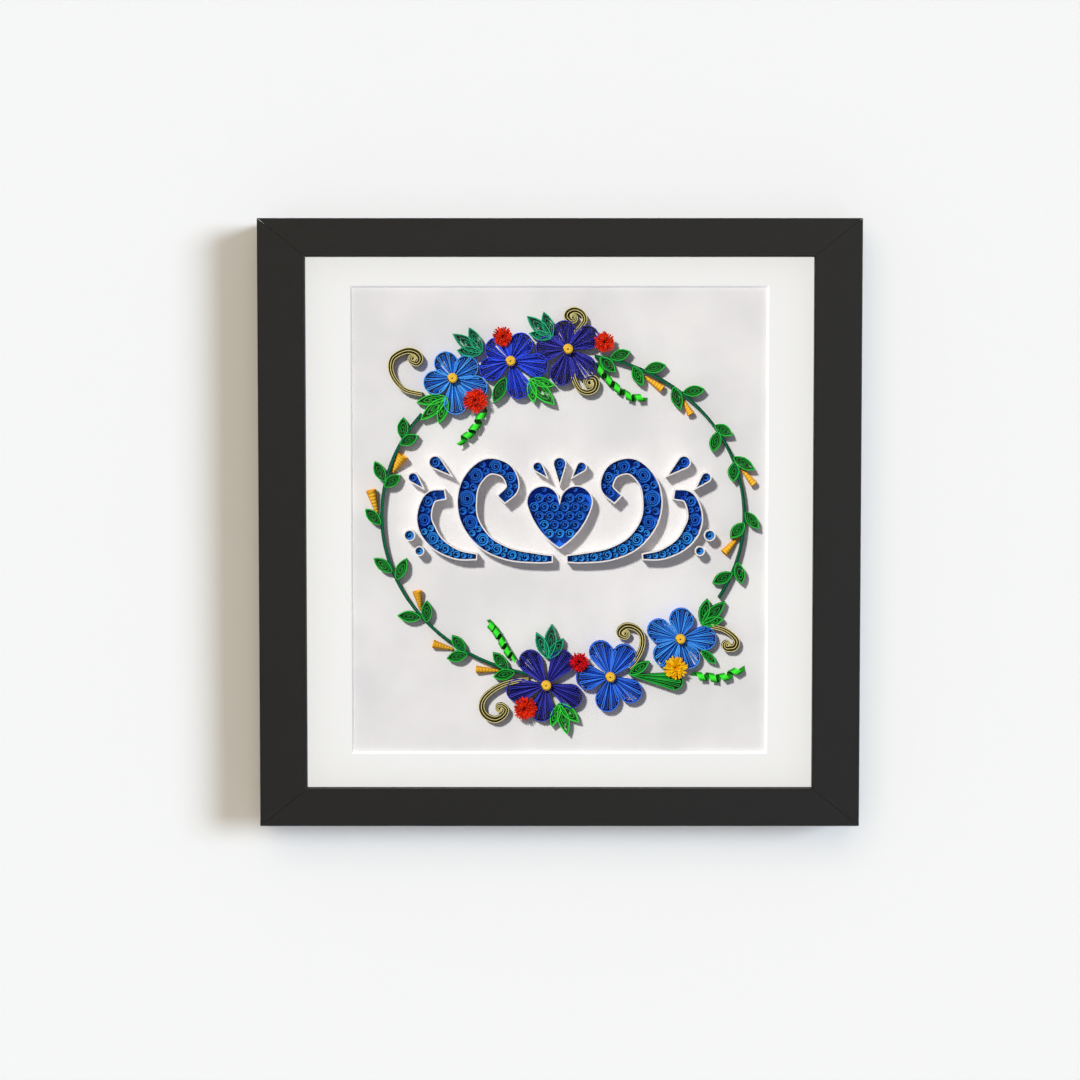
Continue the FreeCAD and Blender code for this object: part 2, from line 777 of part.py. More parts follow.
# Five-petal flowers
# Each petal is a husk of strip loops fanned from the flower's middle, open between the loops,
# and a tight coil sits on the middle. Petals are listed as heading and length.
FLOWERS = [
    ("top_middle_flower", 106.8, -0.6,
     [(139, 15.3), (58, 16.0), (-9, 19.4), (-73, 19.8), (202, 16.6)]),
    ("top_left_flower", 125.8, 3.4,
     [(114, 14.3), (38, 15.0), (194, 15.2), (-22, 18.6), (-83, 18.6)]),
    ("top_right_flower", 88.5, 2.0,
     [(102, 14.8), (31, 17.6), (-47, 18.5), (-104, 18.9), (177, 16.5)]),
    ("bottom_left_flower", 264.9, 4.1,
     [(124, 20.4), (55, 20.4), (-25, 20.0), (-100, 19.0), (191, 20.8)]),
    ("bottom_middle_flower", 284.8, 2.3,
     [(111, 19.4), (56, 18.9), (-36, 18.9), (-97, 18.1), (183, 17.6)]),
    ("bottom_right_flower", 310.4, -0.3,
     [(86, 15.8), (1, 18.5), (-66, 16.4), (-133, 17.4), (159, 17.6)]),
]
# The openings between a petal's loops start at a share of its length, gathered towards its
# middle line, and the outer ones stop short where the petal's end is round
SLOT_FAN = (-2, -1, 0, 1, 2)
SLOT_START = 0.3
SLOT_GATHERING = 0.22
ROUND_END = 0.3


def petal_slots(centre, heading, length):
    """The openings between a petal's loops: slim teardrops that fan out from the middle."""
    along = toward(heading)
    side = Vector(-along.z, 0, along.x)
    width = size("petal_width")
    slot = size("petal_slot")
    slots = []
    for step in SLOT_FAN:
        lean = step / SLOT_FAN[-1]
        spread = lean * (width / 2 - slot / 2 - size("strip_rim"))
        reach = length - size("strip_rim") - ROUND_END * width * lean * lean
        start = centre + along * (length * SLOT_START) + side * (spread * SLOT_GATHERING)
        end = centre + along * reach + side * spread
        slots.append(teardrop(start, end, slot))
    return slots


def flower(label, centre, petals):
    clear = size("piece_clearance")
    width = size("petal_width")
    hub = size("hub_radius")
    plans = [disc(centre, hub)]
    rooms = [disc(centre, hub + clear)]
    openings = []
    for heading, length in petals:
        tip = centre + toward(heading) * length
        far = centre + toward(heading) * (length + clear)
        plans.append(teardrop(centre, tip, width))
        rooms.append(teardrop(centre, far, width + 2 * clear))
        openings.extend(petal_slots(centre, heading, length))
    plan = trimmed(largest(joined(plans)), largest(joined(rooms)))
    raised(label + "_petals", largest(plan.cut(openings)), "Sizes.strip_width")

    coil = doc.addObject("Part::Cylinder", label + "_coil")
    bind(coil, Radius="Sizes.centre_radius", Height="Sizes.centre_rise")
    eye = doc.addObject("Part::Cylinder", label + "_eye")
    bind(eye, Radius="Sizes.centre_eye", Height="Sizes.centre_rise")
    middle = doc.addObject("Part::Cut", label + "_middle")
    middle.Base = coil
    middle.Tool = eye
    middle.Placement = Placement(Vector(0, 0, 0), Rotation(Vector(1, 0, 0), 90))
    place(
        middle,
        "%.6f" % centre.x,
        "%s - Sizes.strip_width" % GROUND_Y,
        "%s + %.6f" % (MIDDLE, centre.z),
    )
    finish(middle, label + "_centre")


for label, station, offset, petals in FLOWERS:
    flower(label, ring_spot(station, offset), petals)

# Rolled cones
# Strips wound into stepped hollow cones, laid beside the vines with the narrow end at the
# stem. Each has a station, an offset, a heading, a length and a width at its mouth.
CONES = [
    (164.3, -2.2, 57, 11.0, 5.8),
    (179.2, 2.2, 104, 12.5, 5.4),
    (216.8, -2.0, 100, 10.2, 5.0),
    (233.6, 2.2, 164, 10.8, 4.4),
    (249.8, 1.9, 176, 12.0, 4.0),
    (62.6, -2.8, 325, 11.4, 4.2),
    (47.4, -2.4, 298, 8.6, 4.0),
    (16.4, 2.2, 309, 10.5, 4.0),
    (352.2, -2.2, 228, 11.2, 4.4),
]
CONE_STEPS = 6
# The hollow in the mouth reaches in to this share of the length
HOLLOW_END = 0.35


def rolled_cone(station, offset, heading, length, width):
    """A stepped hollow cone that lies with its side on the ground."""
    narrow = size("cone_narrow")
    mouth = width / 2
    profile = [(0, 0)]
    for step in range(CONE_STEPS):
        radius = narrow + (mouth - narrow) * (step + 1) / CONE_STEPS
        profile.append((length * step / CONE_STEPS, radius))
        profile.append((length * (step + 1) / CONE_STEPS, radius))
    profile.append((length, mouth - size("strip_rim")))
    profile.append((length * HOLLOW_END, 0))
    corners = [Vector(reach, radius, 0) for reach, radius in profile]
    face = Part.Face(Part.makePolygon(corners + corners[:1]))
    cone = face.revolve(Vector(0, 0, 0), Vector(1, 0, 0), 360)
    first_radius = narrow + (mouth - narrow) / CONE_STEPS
    step_length = length / CONE_STEPS
    tilt = math.atan2(mouth - first_radius, length - step_length)
    cone.translate(Vector(-step_length, -first_radius, 0))
    cone.rotate(Vector(0, 0, 0), Vector(0, 0, 1), -math.degrees(tilt))
    lowest = cone.BoundBox.YMax
    cone.translate(Vector(0, -lowest, 0))
    cone.rotate(Vector(0, 0, 0), Vector(0, 1, 0), -heading)
    foot = ring_spot(station, offset) + toward(heading) * step_length
    cone.translate(foot)
    side = Vector(-toward(heading).z, 0, toward(heading).x)
    clear = size("piece_clearance")
    mouth_end = foot + toward(heading) * (length - step_length + clear)
    narrow_end = foot - toward(heading) * (step_length + clear)
    corners = [
        narrow_end + side * (first_radius + clear),
        mouth_end + side * (mouth + clear),
        mouth_end - side * (mouth + clear),
        narrow_end - side * (first_radius + clear),
    ]
    keep_clear.append(flat_polygon(corners))
    return cone


def rolls_together(label, shapes):
    """Rolled pieces of one kind, each a solid of its own, in one node."""
    group = doc.addObject("Part::Feature", label + "_rolls")
    group.Shape = Part.makeCompound(shapes)
    group.Placement = Placement(Vector(0, ground_y, frame_height / 2), Rotation())
    return finish(group, label)


rolls_together("vine_cones", [rolled_cone(*cone) for cone in CONES])

# Olive scrolls
# Strips laid together on edge into one thick band, curled at the end. Points are offsets in
# millimetres from the flower that the scroll grows from.
SCROLLS = [
    (
        "top_left_scroll",
        (125.8, 3.4),
        [(-15.5, -8.3), (-23.9, -6.3), (-29.0, -1.6), (-31.6, 4.1), (-30.9, 9.7), (-27.1, 12.8),
         (-22.2, 14.2), (-18.0, 12.8), (-16.3, 9.7), (-18.0, 7.2), (-20.6, 7.8)],
    ),
    (
        "top_right_scroll",
        (88.5, 2.0),
        [(3.5, 7.6), (7.8, 12.8), (8.7, 15.6), (7.0, 18.6), (3.5, 20.0), (0.3, 18.8), (-0.6, 16.4),
         (0.8, 14.6)],
    ),
    (
        "top_inner_scroll",
        (88.5, 2.0),
        [(2.4, -10.0), (3.3, -15.4), (5.8, -20.0), (9.4, -21.8), (13.0, -20.8), (14.4, -17.8),
         (13.4, -15.2), (11.4, -14.8)],
    ),
    (
        "bottom_left_scroll",
        (264.9, 4.1),
        [(-9.0, 2.8), (-14.5, 2.4), (-23.0, -0.1), (-29.4, -4.1), (-32.7, -8.2), (-33.2, -12.5),
         (-30.7, -16.4), (-26.0, -18.1), (-21.7, -15.9), (-20.2, -12.6), (-22.2, -10.6)],
    ),
    (
        "bottom_inner_scroll",
        (284.8, 2.3),
        [(9.6, 4.4), (13.2, 8.3), (16.1, 14.1), (16.8, 19.1), (15.4, 23.1), (11.8, 25.6),
         (7.9, 26.0), (4.9, 23.8), (4.6, 21.4), (6.4, 20.2)],
    ),
    (
        "bottom_right_scroll",
        (310.4, -0.3),
        [(15.7, 6.6), (22.4, 4.8), (27.2, 1.6), (29.3, -1.7), (27.9, -4.8), (24.6, -5.4)],
    ),
]
# A scroll's width at its root and at its end, as shares of its width in the middle
SCROLL_TAPER = (0.6, 1.0, 0.5)


def scroll(label, root, offsets):
    foot = ring_spot(*root)
    line = [foot + spot(x, z) for x, z in offsets]
    width = size("scroll_width")
    clear = size("piece_clearance")
    widths = [width * share for share in SCROLL_TAPER]
    room = band(line, [each + 2 * clear for each in widths])
    raised(label, trimmed(band(line, widths), room), "Sizes.strip_width")


for label, root, offsets in SCROLLS:
    scroll(label, root, offsets)

# Vines
# A stem of strips on edge that follows the ring, with leaves on both sides. A leaf is listed
# as its station, its heading and its length.
LEFT_VINE = (141, 259)
LEFT_LEAVES = [
    (152.0, 86, 11.5),
    (154.0, 26, 10.8),
    (168.0, 116, 11.9),
    (169.8, 36, 10.5),
    (183.2, 135, 11.6),
    (200.5, 143, 12.2),
    (203.4, 65, 12.4),
    (219.0, 175, 12.6),
    (221.4, 90, 11.5),
    (237.5, 129, 11.1),
    (238.5, 193, 11.3),
    (252.6, 132, 12.2),
    (254.8, 193, 11.7),
]
RIGHT_VINE = (80, -30.5)
RIGHT_LEAVES = [
    (75.2, 18, 11.2),
    (78.4, 314, 11.3),
    (63.7, 12, 11.6),
    (67.4, 295, 11.5),
    (49.2, 8, 11.8),
    (52.8, 287, 12.5),
    (34.0, 331, 10.8),
    (31.5, 255, 11.2),
    (21.4, 329, 13.3),
    (19.5, 265, 10.4),
    (1.6, 308, 11.5),
    (-2.3, 229, 10.8),
    (-16.5, 282, 11.6),
    (-20.5, 208, 11.8),
]
VINE_STEP = 5.0
STEM_TAPER = (0.8, 1.0, 0.8)


def vine(label, ends, leaf_list):
    start, end = ends
    count = int(abs(end - start) / VINE_STEP)
    line = [ring_spot(start + (end - start) * index / count) for index in range(count + 1)]
    width = size("stem_width")
    stem = band(line, [width * share for share in STEM_TAPER])
    placed = [
        (ring_spot(station), heading, length, size("leaf_width"))
        for station, heading, length in leaf_list
    ]
    leaves(label, placed, [stem])


vine("left_vine", LEFT_VINE, LEFT_LEAVES)
vine("right_vine", RIGHT_VINE, RIGHT_LEAVES)

# Leaf sprigs among the flowers
# Leaves that share one short stem. Each sprig is placed by station and offset, and lists the
# heading, the length and the width of its leaves.
SPRIGS = [
    ("top_left_sprig", 114.3, 7.8, [(147, 18.0, 6.5), (117, 14.8, 6.0), (174, 13.0, 5.5)]),
    ("top_right_sprig", 93.2, 7.7, [(139, 17.0, 6.5), (108, 14.1, 6.0), (168, 12.0, 5.0)]),
    ("left_bright_sprig", 130.8, -2.8, [(190, 16.0, 5.5), (221, 18.0, 6.0), (252, 14.2, 5.5)]),
    ("middle_bright_sprig", 101.9, -11.7, [(281, 12.6, 5.0), (314, 17.5, 6.5), (346, 13.5, 5.0)]),
    ("bottom_teal_sprig", 265.0, -9.2, [(115, 15.0, 6.0), (84, 18.0, 6.5), (54, 13.0, 5.5)]),
    ("bottom_bright_sprig", 269.1, 13.4, [(250, 12.6, 5.0), (284, 16.5, 6.0), (316, 13.0, 5.0)]),
    ("bottom_right_sprig", 318.7, 1.2, [(75, 13.6, 5.5), (43, 17.0, 6.0), (14, 12.0, 5.0)]),
    ("long_husked_leaf", 290.5, 4.1, [(352, 28.0, 9.0), (34, 12.5, 5.0)]),
]

for label, station, offset, leaf_list in SPRIGS:
    foot = ring_spot(station, offset)
    placed = [(foot, heading, length, width) for heading, length, width in leaf_list]
    leaves(label, placed, [disc(foot, size("stem_width") / 2)])

# Single leaves
# Two leaves on their own beside flowers: station, offset, heading, length and width.
SINGLE_LEAVES = [(109.7, -7.6, 244, 14.8, 6.5), (313.3, 10.7, 318, 10.8, 4.5)]

placed = [(ring_spot(station, offset), *shape) for station, offset, *shape in SINGLE_LEAVES]
leaves("single_leaves", placed, [])

# Curled tendrils
# Narrow strips curled like a spring and glued down by one end. Each is listed by its root
# flower, the line it follows from there, and its number of turns.
TENDRILS = [
    (
        "top_left_tendril",
        (125.8, 3.4),
        [(15.7, -16.1), (12.4, -23.3), (8.6, -28.4), (3.2, -32.4)],
        3.5,
    ),
    (
        "top_right_tendril",
        (88.5, 2.0),
        [(14.4, -8.1), (19.8, -14.7), (25.1, -19.8), (32.2, -24.4), (39.1, -24.6)],
        5,
    ),
    (
        "bottom_left_tendril",
        (264.9, 4.1),
        [(-29.4, 31.6), (-25.5, 26.9), (-21.3, 19.6), (-17.1, 12.8)],
        4.5,
    ),
    (
        "bottom_right_tendril",
        (310.4, -0.3),
        [(7.5, -19.4), (13.9, -19.7), (19.7, -20.4), (25.8, -18.6), (31.9, -15.0)],
        4,
    ),
]


def half_turn(start, end, side, width):
    """Half a turn of a curl, seen from above: half a ring between two places on its line."""
    middle = (start + end) / 2
    along = (end - start).normalize()
    swing = Vector(-along.z, 0, along.x) * side
    radius = (end - start).Length / 2
    outer = radius + width / 2
    inner = max(radius - width / 2, 0.1)
    return flat_face(
        [
            Part.Arc(middle - along * outer, middle + swing * outer, middle + along * outer),
            Part.LineSegment(middle + along * outer, middle + along * inner),
            Part.Arc(middle + along * inner, middle + swing * inner, middle - along * inner),
            Part.LineSegment(middle - along * inner, middle - along * outer),
        ]
    )


def tendril(label, root, offsets, turns):
    foot = ring_spot(*root)
    axis = smooth([foot + spot(x, z) for x, z in offsets])
    count = int(2 * turns)
    length = axis.length()
    stops = [
        axis.value(axis.parameterAtDistance(length * index / count)) for index in range(count + 1)
    ]
    width = size("tendril_width")
    wide = width + 2 * size("piece_clearance")
    plans = [disc(stop, width / 2) for stop in stops]
    rooms = [disc(stop, wide / 2) for stop in stops]
    for index in range(count):
        side = 1 if index % 2 else -1
        plans.append(half_turn(stops[index], stops[index + 1], side, width))
        rooms.append(half_turn(stops[index], stops[index + 1], side, wide))
    plan = trimmed(without_crumbs(joined(plans)), joined(rooms))
    raised(label, plan, "Sizes.tendril_height")


for label, root, offsets, turns in TENDRILS:
    tendril(label, root, offsets, turns)

# Middle ornament
# A heart between two mirrored pairs of volutes and drops. Each shape is a wall of white strip
# on edge, filled with blue coils: one across the stroke, then two side by side, in turn.
HEART_HALF_WIDTH = 17.0
HEART_FOOT = -13.0
HEART_SHOULDER = 10.0
HEART_CROWN = 19.5
HEART_CLEFT = 12.0
# The flank's arc passes a point this far above the foot and out by this share of the width
HEART_FLANK_RISE = 11.0
HEART_FLANK_SHARE = 0.68
HEART_CROWN_SHARE = 0.54
# How fast each point moves when the outline is moved in by the wall's thickness
FOOT_SHIFT = 1.35
CLEFT_SHIFT = 1.2
FLANK_SHIFT = 0.6
VOLUTES = [
    (
        [(3.4, -18.0), (12.0, -17.6), (26.0, -15.5), (38.5, -9.0), (46.5, 3.5), (46.0, 19.0),
         (37.5, 28.8), (27.5, 27.0), (24.0, 18.5), (30.0, 12.0)],
        (4.0, 10.5, 6.0),
    ),
    (
        [(42.0, -17.0), (53.0, -15.5), (63.5, -9.0), (69.0, 2.0), (66.0, 13.0), (58.0, 15.0)],
        (3.5, 9.0, 5.5),
    ),
]
SIDE_DROPS = [
    ((54.0, 23.5), (66.0, 33.5), 7.0),
    ((68.5, 17.0), (76.5, 25.5), 5.6),
    ((5.5, 22.5), (13.0, 31.0), 5.6),
]
MIDDLE_DROP = ((0.0, 18.5), (0.0, 34.0), 7.0)
# A drop's coils: how far each lies behind the first, and its radius, in radii of the first
DROP_COILS = [(0.0, 1.0), (1.6, 0.5), (2.45, 0.22)]
# The inside of a drop's point starts this many wall thicknesses in
DROP_POINT = 2.4
DOTS = [((76.5, -6.0), 3.0), ((71.5, -14.0), 2.6)]

COIL_EYE = 0.3
NARROW_STROKE = 3.4
# A coil as wide as the stroke and a pair half as wide touch at 0.71 of the stroke's width
COIL_NESTING = 0.72
SINGLE_NESTING = 1.06
STROKE_END = 0.6
# Rows and columns of coils are tried to each side of the heart's middle
HEART_PITCH = 5.2
HEART_MIDDLE = 4.0
HEART_ROWS = 6
HEART_COLUMNS = 4
SMALLEST_COIL = 0.45


def mirrored_spot(x, z, side):
    return spot(side * x, z)


def heart_face(inset):
    half = HEART_HALF_WIDTH - inset
    foot = spot(0, HEART_FOOT + FOOT_SHIFT * inset)
    cleft = spot(0, HEART_CLEFT - CLEFT_SHIFT * inset)
    flank_rise = HEART_FOOT + HEART_FLANK_RISE + FLANK_SHIFT * inset
    edges = []
    for side in (1, -1):
        shoulder = mirrored_spot(half, HEART_SHOULDER, side)
        flank = mirrored_spot(half * HEART_FLANK_SHARE, flank_rise, side)
        crown = mirrored_spot(half * HEART_CROWN_SHARE, HEART_CROWN - inset, side)
        edges.append([Part.Arc(foot, flank, shoulder), Part.Arc(shoulder, crown, cleft)])
    return flat_face(edges[0] + edges[1][::-1])


def coil(centre, radius, hollow):
    """A tight coil of strip on edge, as a short tube."""
    height = size("ornament_coil_height")
    roll = Part.makeCylinder(radius, height, centre, Vector(0, -1, 0))
    if hollow:
        roll = roll.cut(Part.makeCylinder(radius * COIL_EYE, height, centre, Vector(0, -1, 0)))
    return roll


def coils_along(points, widths):
    """Coils that fill a stroke: one across it, then a pair, and so on to its end."""
    line = smooth(points)
    first, last = line.FirstParameter, line.LastParameter
    length = line.length()
    inner = 2 * (size("ornament_wall") + size("coil_gap"))
    rolls = []
    travelled = widths[0]
    paired = False
    while travelled < length - widths[-1] * STROKE_END:
        place_on_line = line.parameterAtDistance(travelled)
        share = (place_on_line - first) / (last - first)
        width = width_at(share, widths) - inner
        centre = line.value(place_on_line)
        along = line.tangent(place_on_line)[0]
        side = Vector(-along.z, 0, along.x)
        slim = width < NARROW_STROKE
        if paired and not slim:
            for sign in (-1, 1):
                small = centre + side * (sign * width / 4)
                rolls.append(coil(small, width / 4 - size("coil_gap") / 2, False))
        else:
            rolls.append(coil(centre, width / 2 - size("coil_gap") / 2, True))
        travelled += (SINGLE_NESTING if slim else COIL_NESTING) * width + size("coil_gap")
        paired = not paired and not slim
    return rolls


def coils_in_heart():
    """Rows of coils packed inside the heart's wall."""
    wall = size("ornament_wall")
    inside = heart_face(wall)
    edge = inside.OuterWire
    radius = (HEART_PITCH - size("coil_gap")) / 2
    rolls = []
    for row in range(-HEART_ROWS, HEART_ROWS + 1):
        for column in range(-HEART_COLUMNS, HEART_COLUMNS + 1):
            x = (column + (row % 2) / 2) * HEART_PITCH
            centre = spot(x, HEART_MIDDLE + row * HEART_PITCH * math.sqrt(3) / 2)
            if not inside.isInside(centre, 1e-3, True):
                continue
            room = edge.distToShape(Part.Vertex(centre))[0] - size("coil_gap")
            if room > radius * SMALLEST_COIL:
                rolls.append(coil(centre, min(radius, room), True))
    return rolls


def walls_of(outer, inner):
    return outer.cut(inner).Faces[0]


def stroke_walls(points, widths):
    wall = size("ornament_wall")
    outer = band(points, widths)
    line = smooth(points)
    first, last = line.FirstParameter, line.LastParameter
    inner_line = [points[0] + line.tangent(first)[0] * wall]
    inner_line.extend(points[1:-1])
    inner_line.append(points[-1] - line.tangent(last)[0] * wall)
    inner = band(inner_line, [width - 2 * wall for width in widths])
    return walls_of(outer, inner)


def drop(start, end, width):
    """A teardrop of wall strip with a large coil in its round end and smaller ones behind it."""
    wall = size("ornament_wall")
    along = (end - start).normalize()
    inner = teardrop(start + along * wall * DROP_POINT, end - along * wall, width - 2 * wall)
    large = width / 2 - wall - size("coil_gap")
    rolls = [
        coil(end - along * (width / 2 + large * behind), large * share, behind == 0)
        for behind, share in DROP_COILS
    ]
    return walls_of(teardrop(start, end, width), inner), rolls


middle_wall, middle_rolls = drop(spot(*MIDDLE_DROP[0]), spot(*MIDDLE_DROP[1]), MIDDLE_DROP[2])
ornament_walls = [walls_of(heart_face(0), heart_face(size("ornament_wall"))), middle_wall]
rolls_together("heart_coils", coils_in_heart() + middle_rolls)

for name, side in (("left", -1), ("right", 1)):
    rolls = []
    wall = size("ornament_wall")
    for points, widths in VOLUTES:
        line = [mirrored_spot(x, z, side) for x, z in points]
        ornament_walls.append(stroke_walls(line, widths))
        rolls.extend(coils_along(line, widths))
    for base, tip, width in SIDE_DROPS:
        drop_wall, drop_rolls = drop(mirrored_spot(*base, side), mirrored_spot(*tip, side), width)
        ornament_walls.append(drop_wall)
        rolls.extend(drop_rolls)
    for middle, radius in DOTS:
        centre = mirrored_spot(*middle, side)
        ornament_walls.append(walls_of(disc(centre, radius), disc(centre, radius - wall)))
        rolls.append(coil(centre, radius - wall - size("coil_gap"), True))
    rolls_together(name + "_volute_coils", rolls)
raised("ornament_walls", Part.makeCompound(ornament_walls), "Sizes.ornament_height")

doc.recompute()

for item in doc.Objects:
    if "Invalid" in item.State or "Error" in item.State:
        raise ValueError("%s failed: %s" % (item.Name, item.State))
for piece in nodes:
    if piece.Shape.isNull() or not piece.Shape.isValid():
        raise ValueError("%s has no valid shape" % piece.Label)

os.makedirs("parts", exist_ok=True)
for piece in nodes:
    piece.Shape.exportStep("parts/%s.step" % piece.Label)
print("%d pieces written" % len(nodes))
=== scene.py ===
import math
import random

import bmesh
import bpy
from mathutils import Matrix, Vector


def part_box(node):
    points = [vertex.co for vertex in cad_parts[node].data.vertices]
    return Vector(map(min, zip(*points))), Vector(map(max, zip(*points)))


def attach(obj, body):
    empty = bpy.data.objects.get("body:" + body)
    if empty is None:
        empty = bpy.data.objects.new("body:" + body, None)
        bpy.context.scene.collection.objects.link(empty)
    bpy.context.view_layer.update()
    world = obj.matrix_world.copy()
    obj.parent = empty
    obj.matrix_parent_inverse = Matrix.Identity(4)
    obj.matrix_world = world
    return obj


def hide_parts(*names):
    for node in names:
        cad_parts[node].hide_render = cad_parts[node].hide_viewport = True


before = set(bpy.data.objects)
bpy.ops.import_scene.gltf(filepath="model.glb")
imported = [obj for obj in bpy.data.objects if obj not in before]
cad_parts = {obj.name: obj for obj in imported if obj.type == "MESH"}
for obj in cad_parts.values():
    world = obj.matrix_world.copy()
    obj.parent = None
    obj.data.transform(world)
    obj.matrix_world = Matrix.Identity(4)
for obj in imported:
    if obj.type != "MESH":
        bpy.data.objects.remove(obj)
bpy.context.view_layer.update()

# Art ground
# The sheet of white, slightly pebbled art paper on board that everything is glued to. Its
# front face is the level that heights are counted from, its middle is the art's origin.
MM = 0.001
PAPER_WHITE = "#EDEBEA"
PAPER_SHADE = "#DFDDDE"
PEBBLE = 1.3
MOTTLE = 45.0

ground_low, ground_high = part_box("art_ground_sheet")
ground_level = ground_low.y
art_middle = (ground_low.z + ground_high.z) / 2


def linear(colour):
    """An sRGB hex colour as the linear values that shaders take."""
    channels = [int(colour[start : start + 2], 16) / 255 for start in (1, 3, 5)]
    return [c / 12.92 if c <= 0.04045 else ((c + 0.055) / 1.055) ** 2.4 for c in channels] + [1.0]


def node(tree, kind, inputs=None, **settings):
    """Adds one shader node with its settings, and feeds its inputs with values or sockets."""
    made = tree.nodes.new("ShaderNode" + kind)
    for name, value in settings.items():
        setattr(made, name, value)
    for name, value in (inputs or {}).items():
        if isinstance(value, bpy.types.NodeSocket):
            tree.links.new(value, made.inputs[name])
        else:
            made.inputs[name].default_value = value
    return made


def new_material(name):
    """An empty material, its node tree and its output's surface socket."""
    material = bpy.data.materials.new(name)
    material.use_nodes = True
    tree = material.node_tree
    tree.nodes.clear()
    return material, tree, node(tree, "OutputMaterial").inputs["Surface"]


def lumps(tree, lump, detail):
    """Noise with lumps of a size in millimetres, which stays with the piece."""
    place = node(tree, "TexCoord").outputs["Object"]
    noise = node(tree, "TexNoise", {"Vector": place, "Scale": 1 / (lump * MM), "Detail": detail})
    return noise.outputs["Fac"]


def stretched(tree, value, start, end, low=0.0, high=1.0):
    """A value that runs from low to high while another runs from its start to its end."""
    limits = {"From Min": start, "From Max": end, "To Min": low, "To Max": high}
    return node(tree, "MapRange", {"Value": value, **limits}).outputs["Result"]


def reckoned(tree, operation, first, second):
    """One sum of two values."""
    return node(tree, "Math", {0: first, 1: second}, operation=operation).outputs["Value"]


def blended(tree, share, first, second):
    """A colour between two colours, by a share."""
    ends = {6: linear(first), 7: linear(second)}
    return node(tree, "Mix", {"Factor": share, **ends}, data_type="RGBA").outputs[2]


def relief(tree, height, strength, depth):
    """The surface's direction over fine bumps of a depth in millimetres."""
    limits = {"Strength": strength, "Distance": depth * MM}
    return node(tree, "Bump", {"Height": height, **limits}).outputs["Normal"]


def coat(tree, surface, values):
    """Makes the finish that light meets, and gives it to the material's output."""
    tree.links.new(node(tree, "BsdfPrincipled", values).outputs["BSDF"], surface)


def art_paper():
    """Matte cold-pressed paper: a soft pebbled tooth, and a faint mottle of lighter and darker
    broad patches.
    """
    material, tree, surface = new_material("cold_pressed_paper")
    patches = stretched(tree, lumps(tree, MOTTLE, 3.0), 0.35, 0.65)
    colour = blended(tree, patches, PAPER_SHADE, PAPER_WHITE)
    tooth = relief(tree, lumps(tree, PEBBLE, 4.0), 0.7, 0.12)
    finish = {"Base Color": colour, "Roughness": 0.9, "Specular IOR Level": 0.25, "Normal": tooth}
    coat(tree, surface, finish)
    return material


def finish_cad(material, *names):
    """Gives carried CAD pieces their finish."""
    for name in names:
        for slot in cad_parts[name].material_slots:
            slot.material = material


finish_cad(art_paper(), "art_ground_sheet")

# Vine stems and leaves
# Two long stems of green strips on edge follow the wreath's ring, glued down side by side.
# Each leaf is a loose coil of strip pinched at both ends.
RING_MIDDLE = (1.7, 3.9)
RING_HALF_WIDTH = 92.9
RING_HALF_HEIGHT = 82.9
STRIP_WIDTH = 4.0
# Quilling paper is about 0.2 mm thick; it is drawn thicker so that each turn shows
PAPER = 0.45
STEM_STRIPS = 3
STEM_PITCH = 0.45
STEM_TOP = 3.8
STEM_STEP = 0.15
LEAF_TURNS = 3.8
LEAF_STEPS = 18
LEAF_WIDTH = 5.8
# The turns inside a leaf stand this much lower than the outer one
LEAF_HOLLOW = 0.5
# How far in a coil's strip ends, as a share of its radius
COIL_END = 0.12
# Fibres in the paper, and the slants between which a face counts as a cut edge and takes the
# painted highlight
FIBRE = 0.35
HIGHLIGHT_START = -0.5
HIGHLIGHT_FULL = -0.95
# Where each vine starts and ends on the ring, in degrees; each leaf's station, heading, length
LEFT_VINE = (141, 259)
LEFT_LEAVES = [
    (152.0, 86, 11.5),
    (154.0, 26, 10.8),
    (168.0, 116, 11.9),
    (169.8, 36, 10.5),
    (183.2, 135, 11.6),
    (200.5, 143, 12.2),
    (203.4, 65, 12.4),
    (219.0, 175, 12.6),
    (221.4, 90, 11.5),
    (237.5, 129, 11.1),
    (238.5, 193, 11.3),
    (252.6, 132, 12.2),
    (254.8, 193, 11.7),
]
RIGHT_VINE = (80, -30.5)
RIGHT_LEAVES = [
    (75.2, 18, 11.2),
    (78.4, 314, 11.3),
    (63.7, 12, 11.6),
    (67.4, 295, 11.5),
    (49.2, 8, 11.8),
    (52.8, 287, 12.5),
    (34.0, 331, 10.8),
    (31.5, 255, 11.2),
    (21.4, 329, 13.3),
    (19.5, 265, 10.4),
    (1.6, 308, 11.5),
    (-2.3, 229, 10.8),
    (-16.5, 282, 11.6),
    (-20.5, 208, 11.8),
]

chance = random.Random(7)


def toward(heading):
    """A direction on the ground, counted in degrees from the right towards the top."""
    return Vector((math.cos(math.radians(heading)), math.sin(math.radians(heading))))


def leftward(direction):
    """The direction a quarter turn to the left."""
    return Vector((-direction.y, direction.x))


def ring_spot(station, offset=0.0):
    """A place on the ground beside the wreath's ring, in millimetres from the art's middle."""
    turn = math.radians(station)
    on_ring = Vector(
        (
            RING_MIDDLE[0] + RING_HALF_WIDTH * math.cos(turn),
            RING_MIDDLE[1] + RING_HALF_HEIGHT * math.sin(turn),
        )
    )
    outward = Vector((RING_HALF_HEIGHT * math.cos(turn), RING_HALF_WIDTH * math.sin(turn)))
    return on_ring + outward.normalized() * offset


def above(spot, height):
    """A place on the ground and a height over it, as a point of the frame in metres."""
    return Vector((spot.x * MM, ground_level - height * MM, art_middle + spot.y * MM))


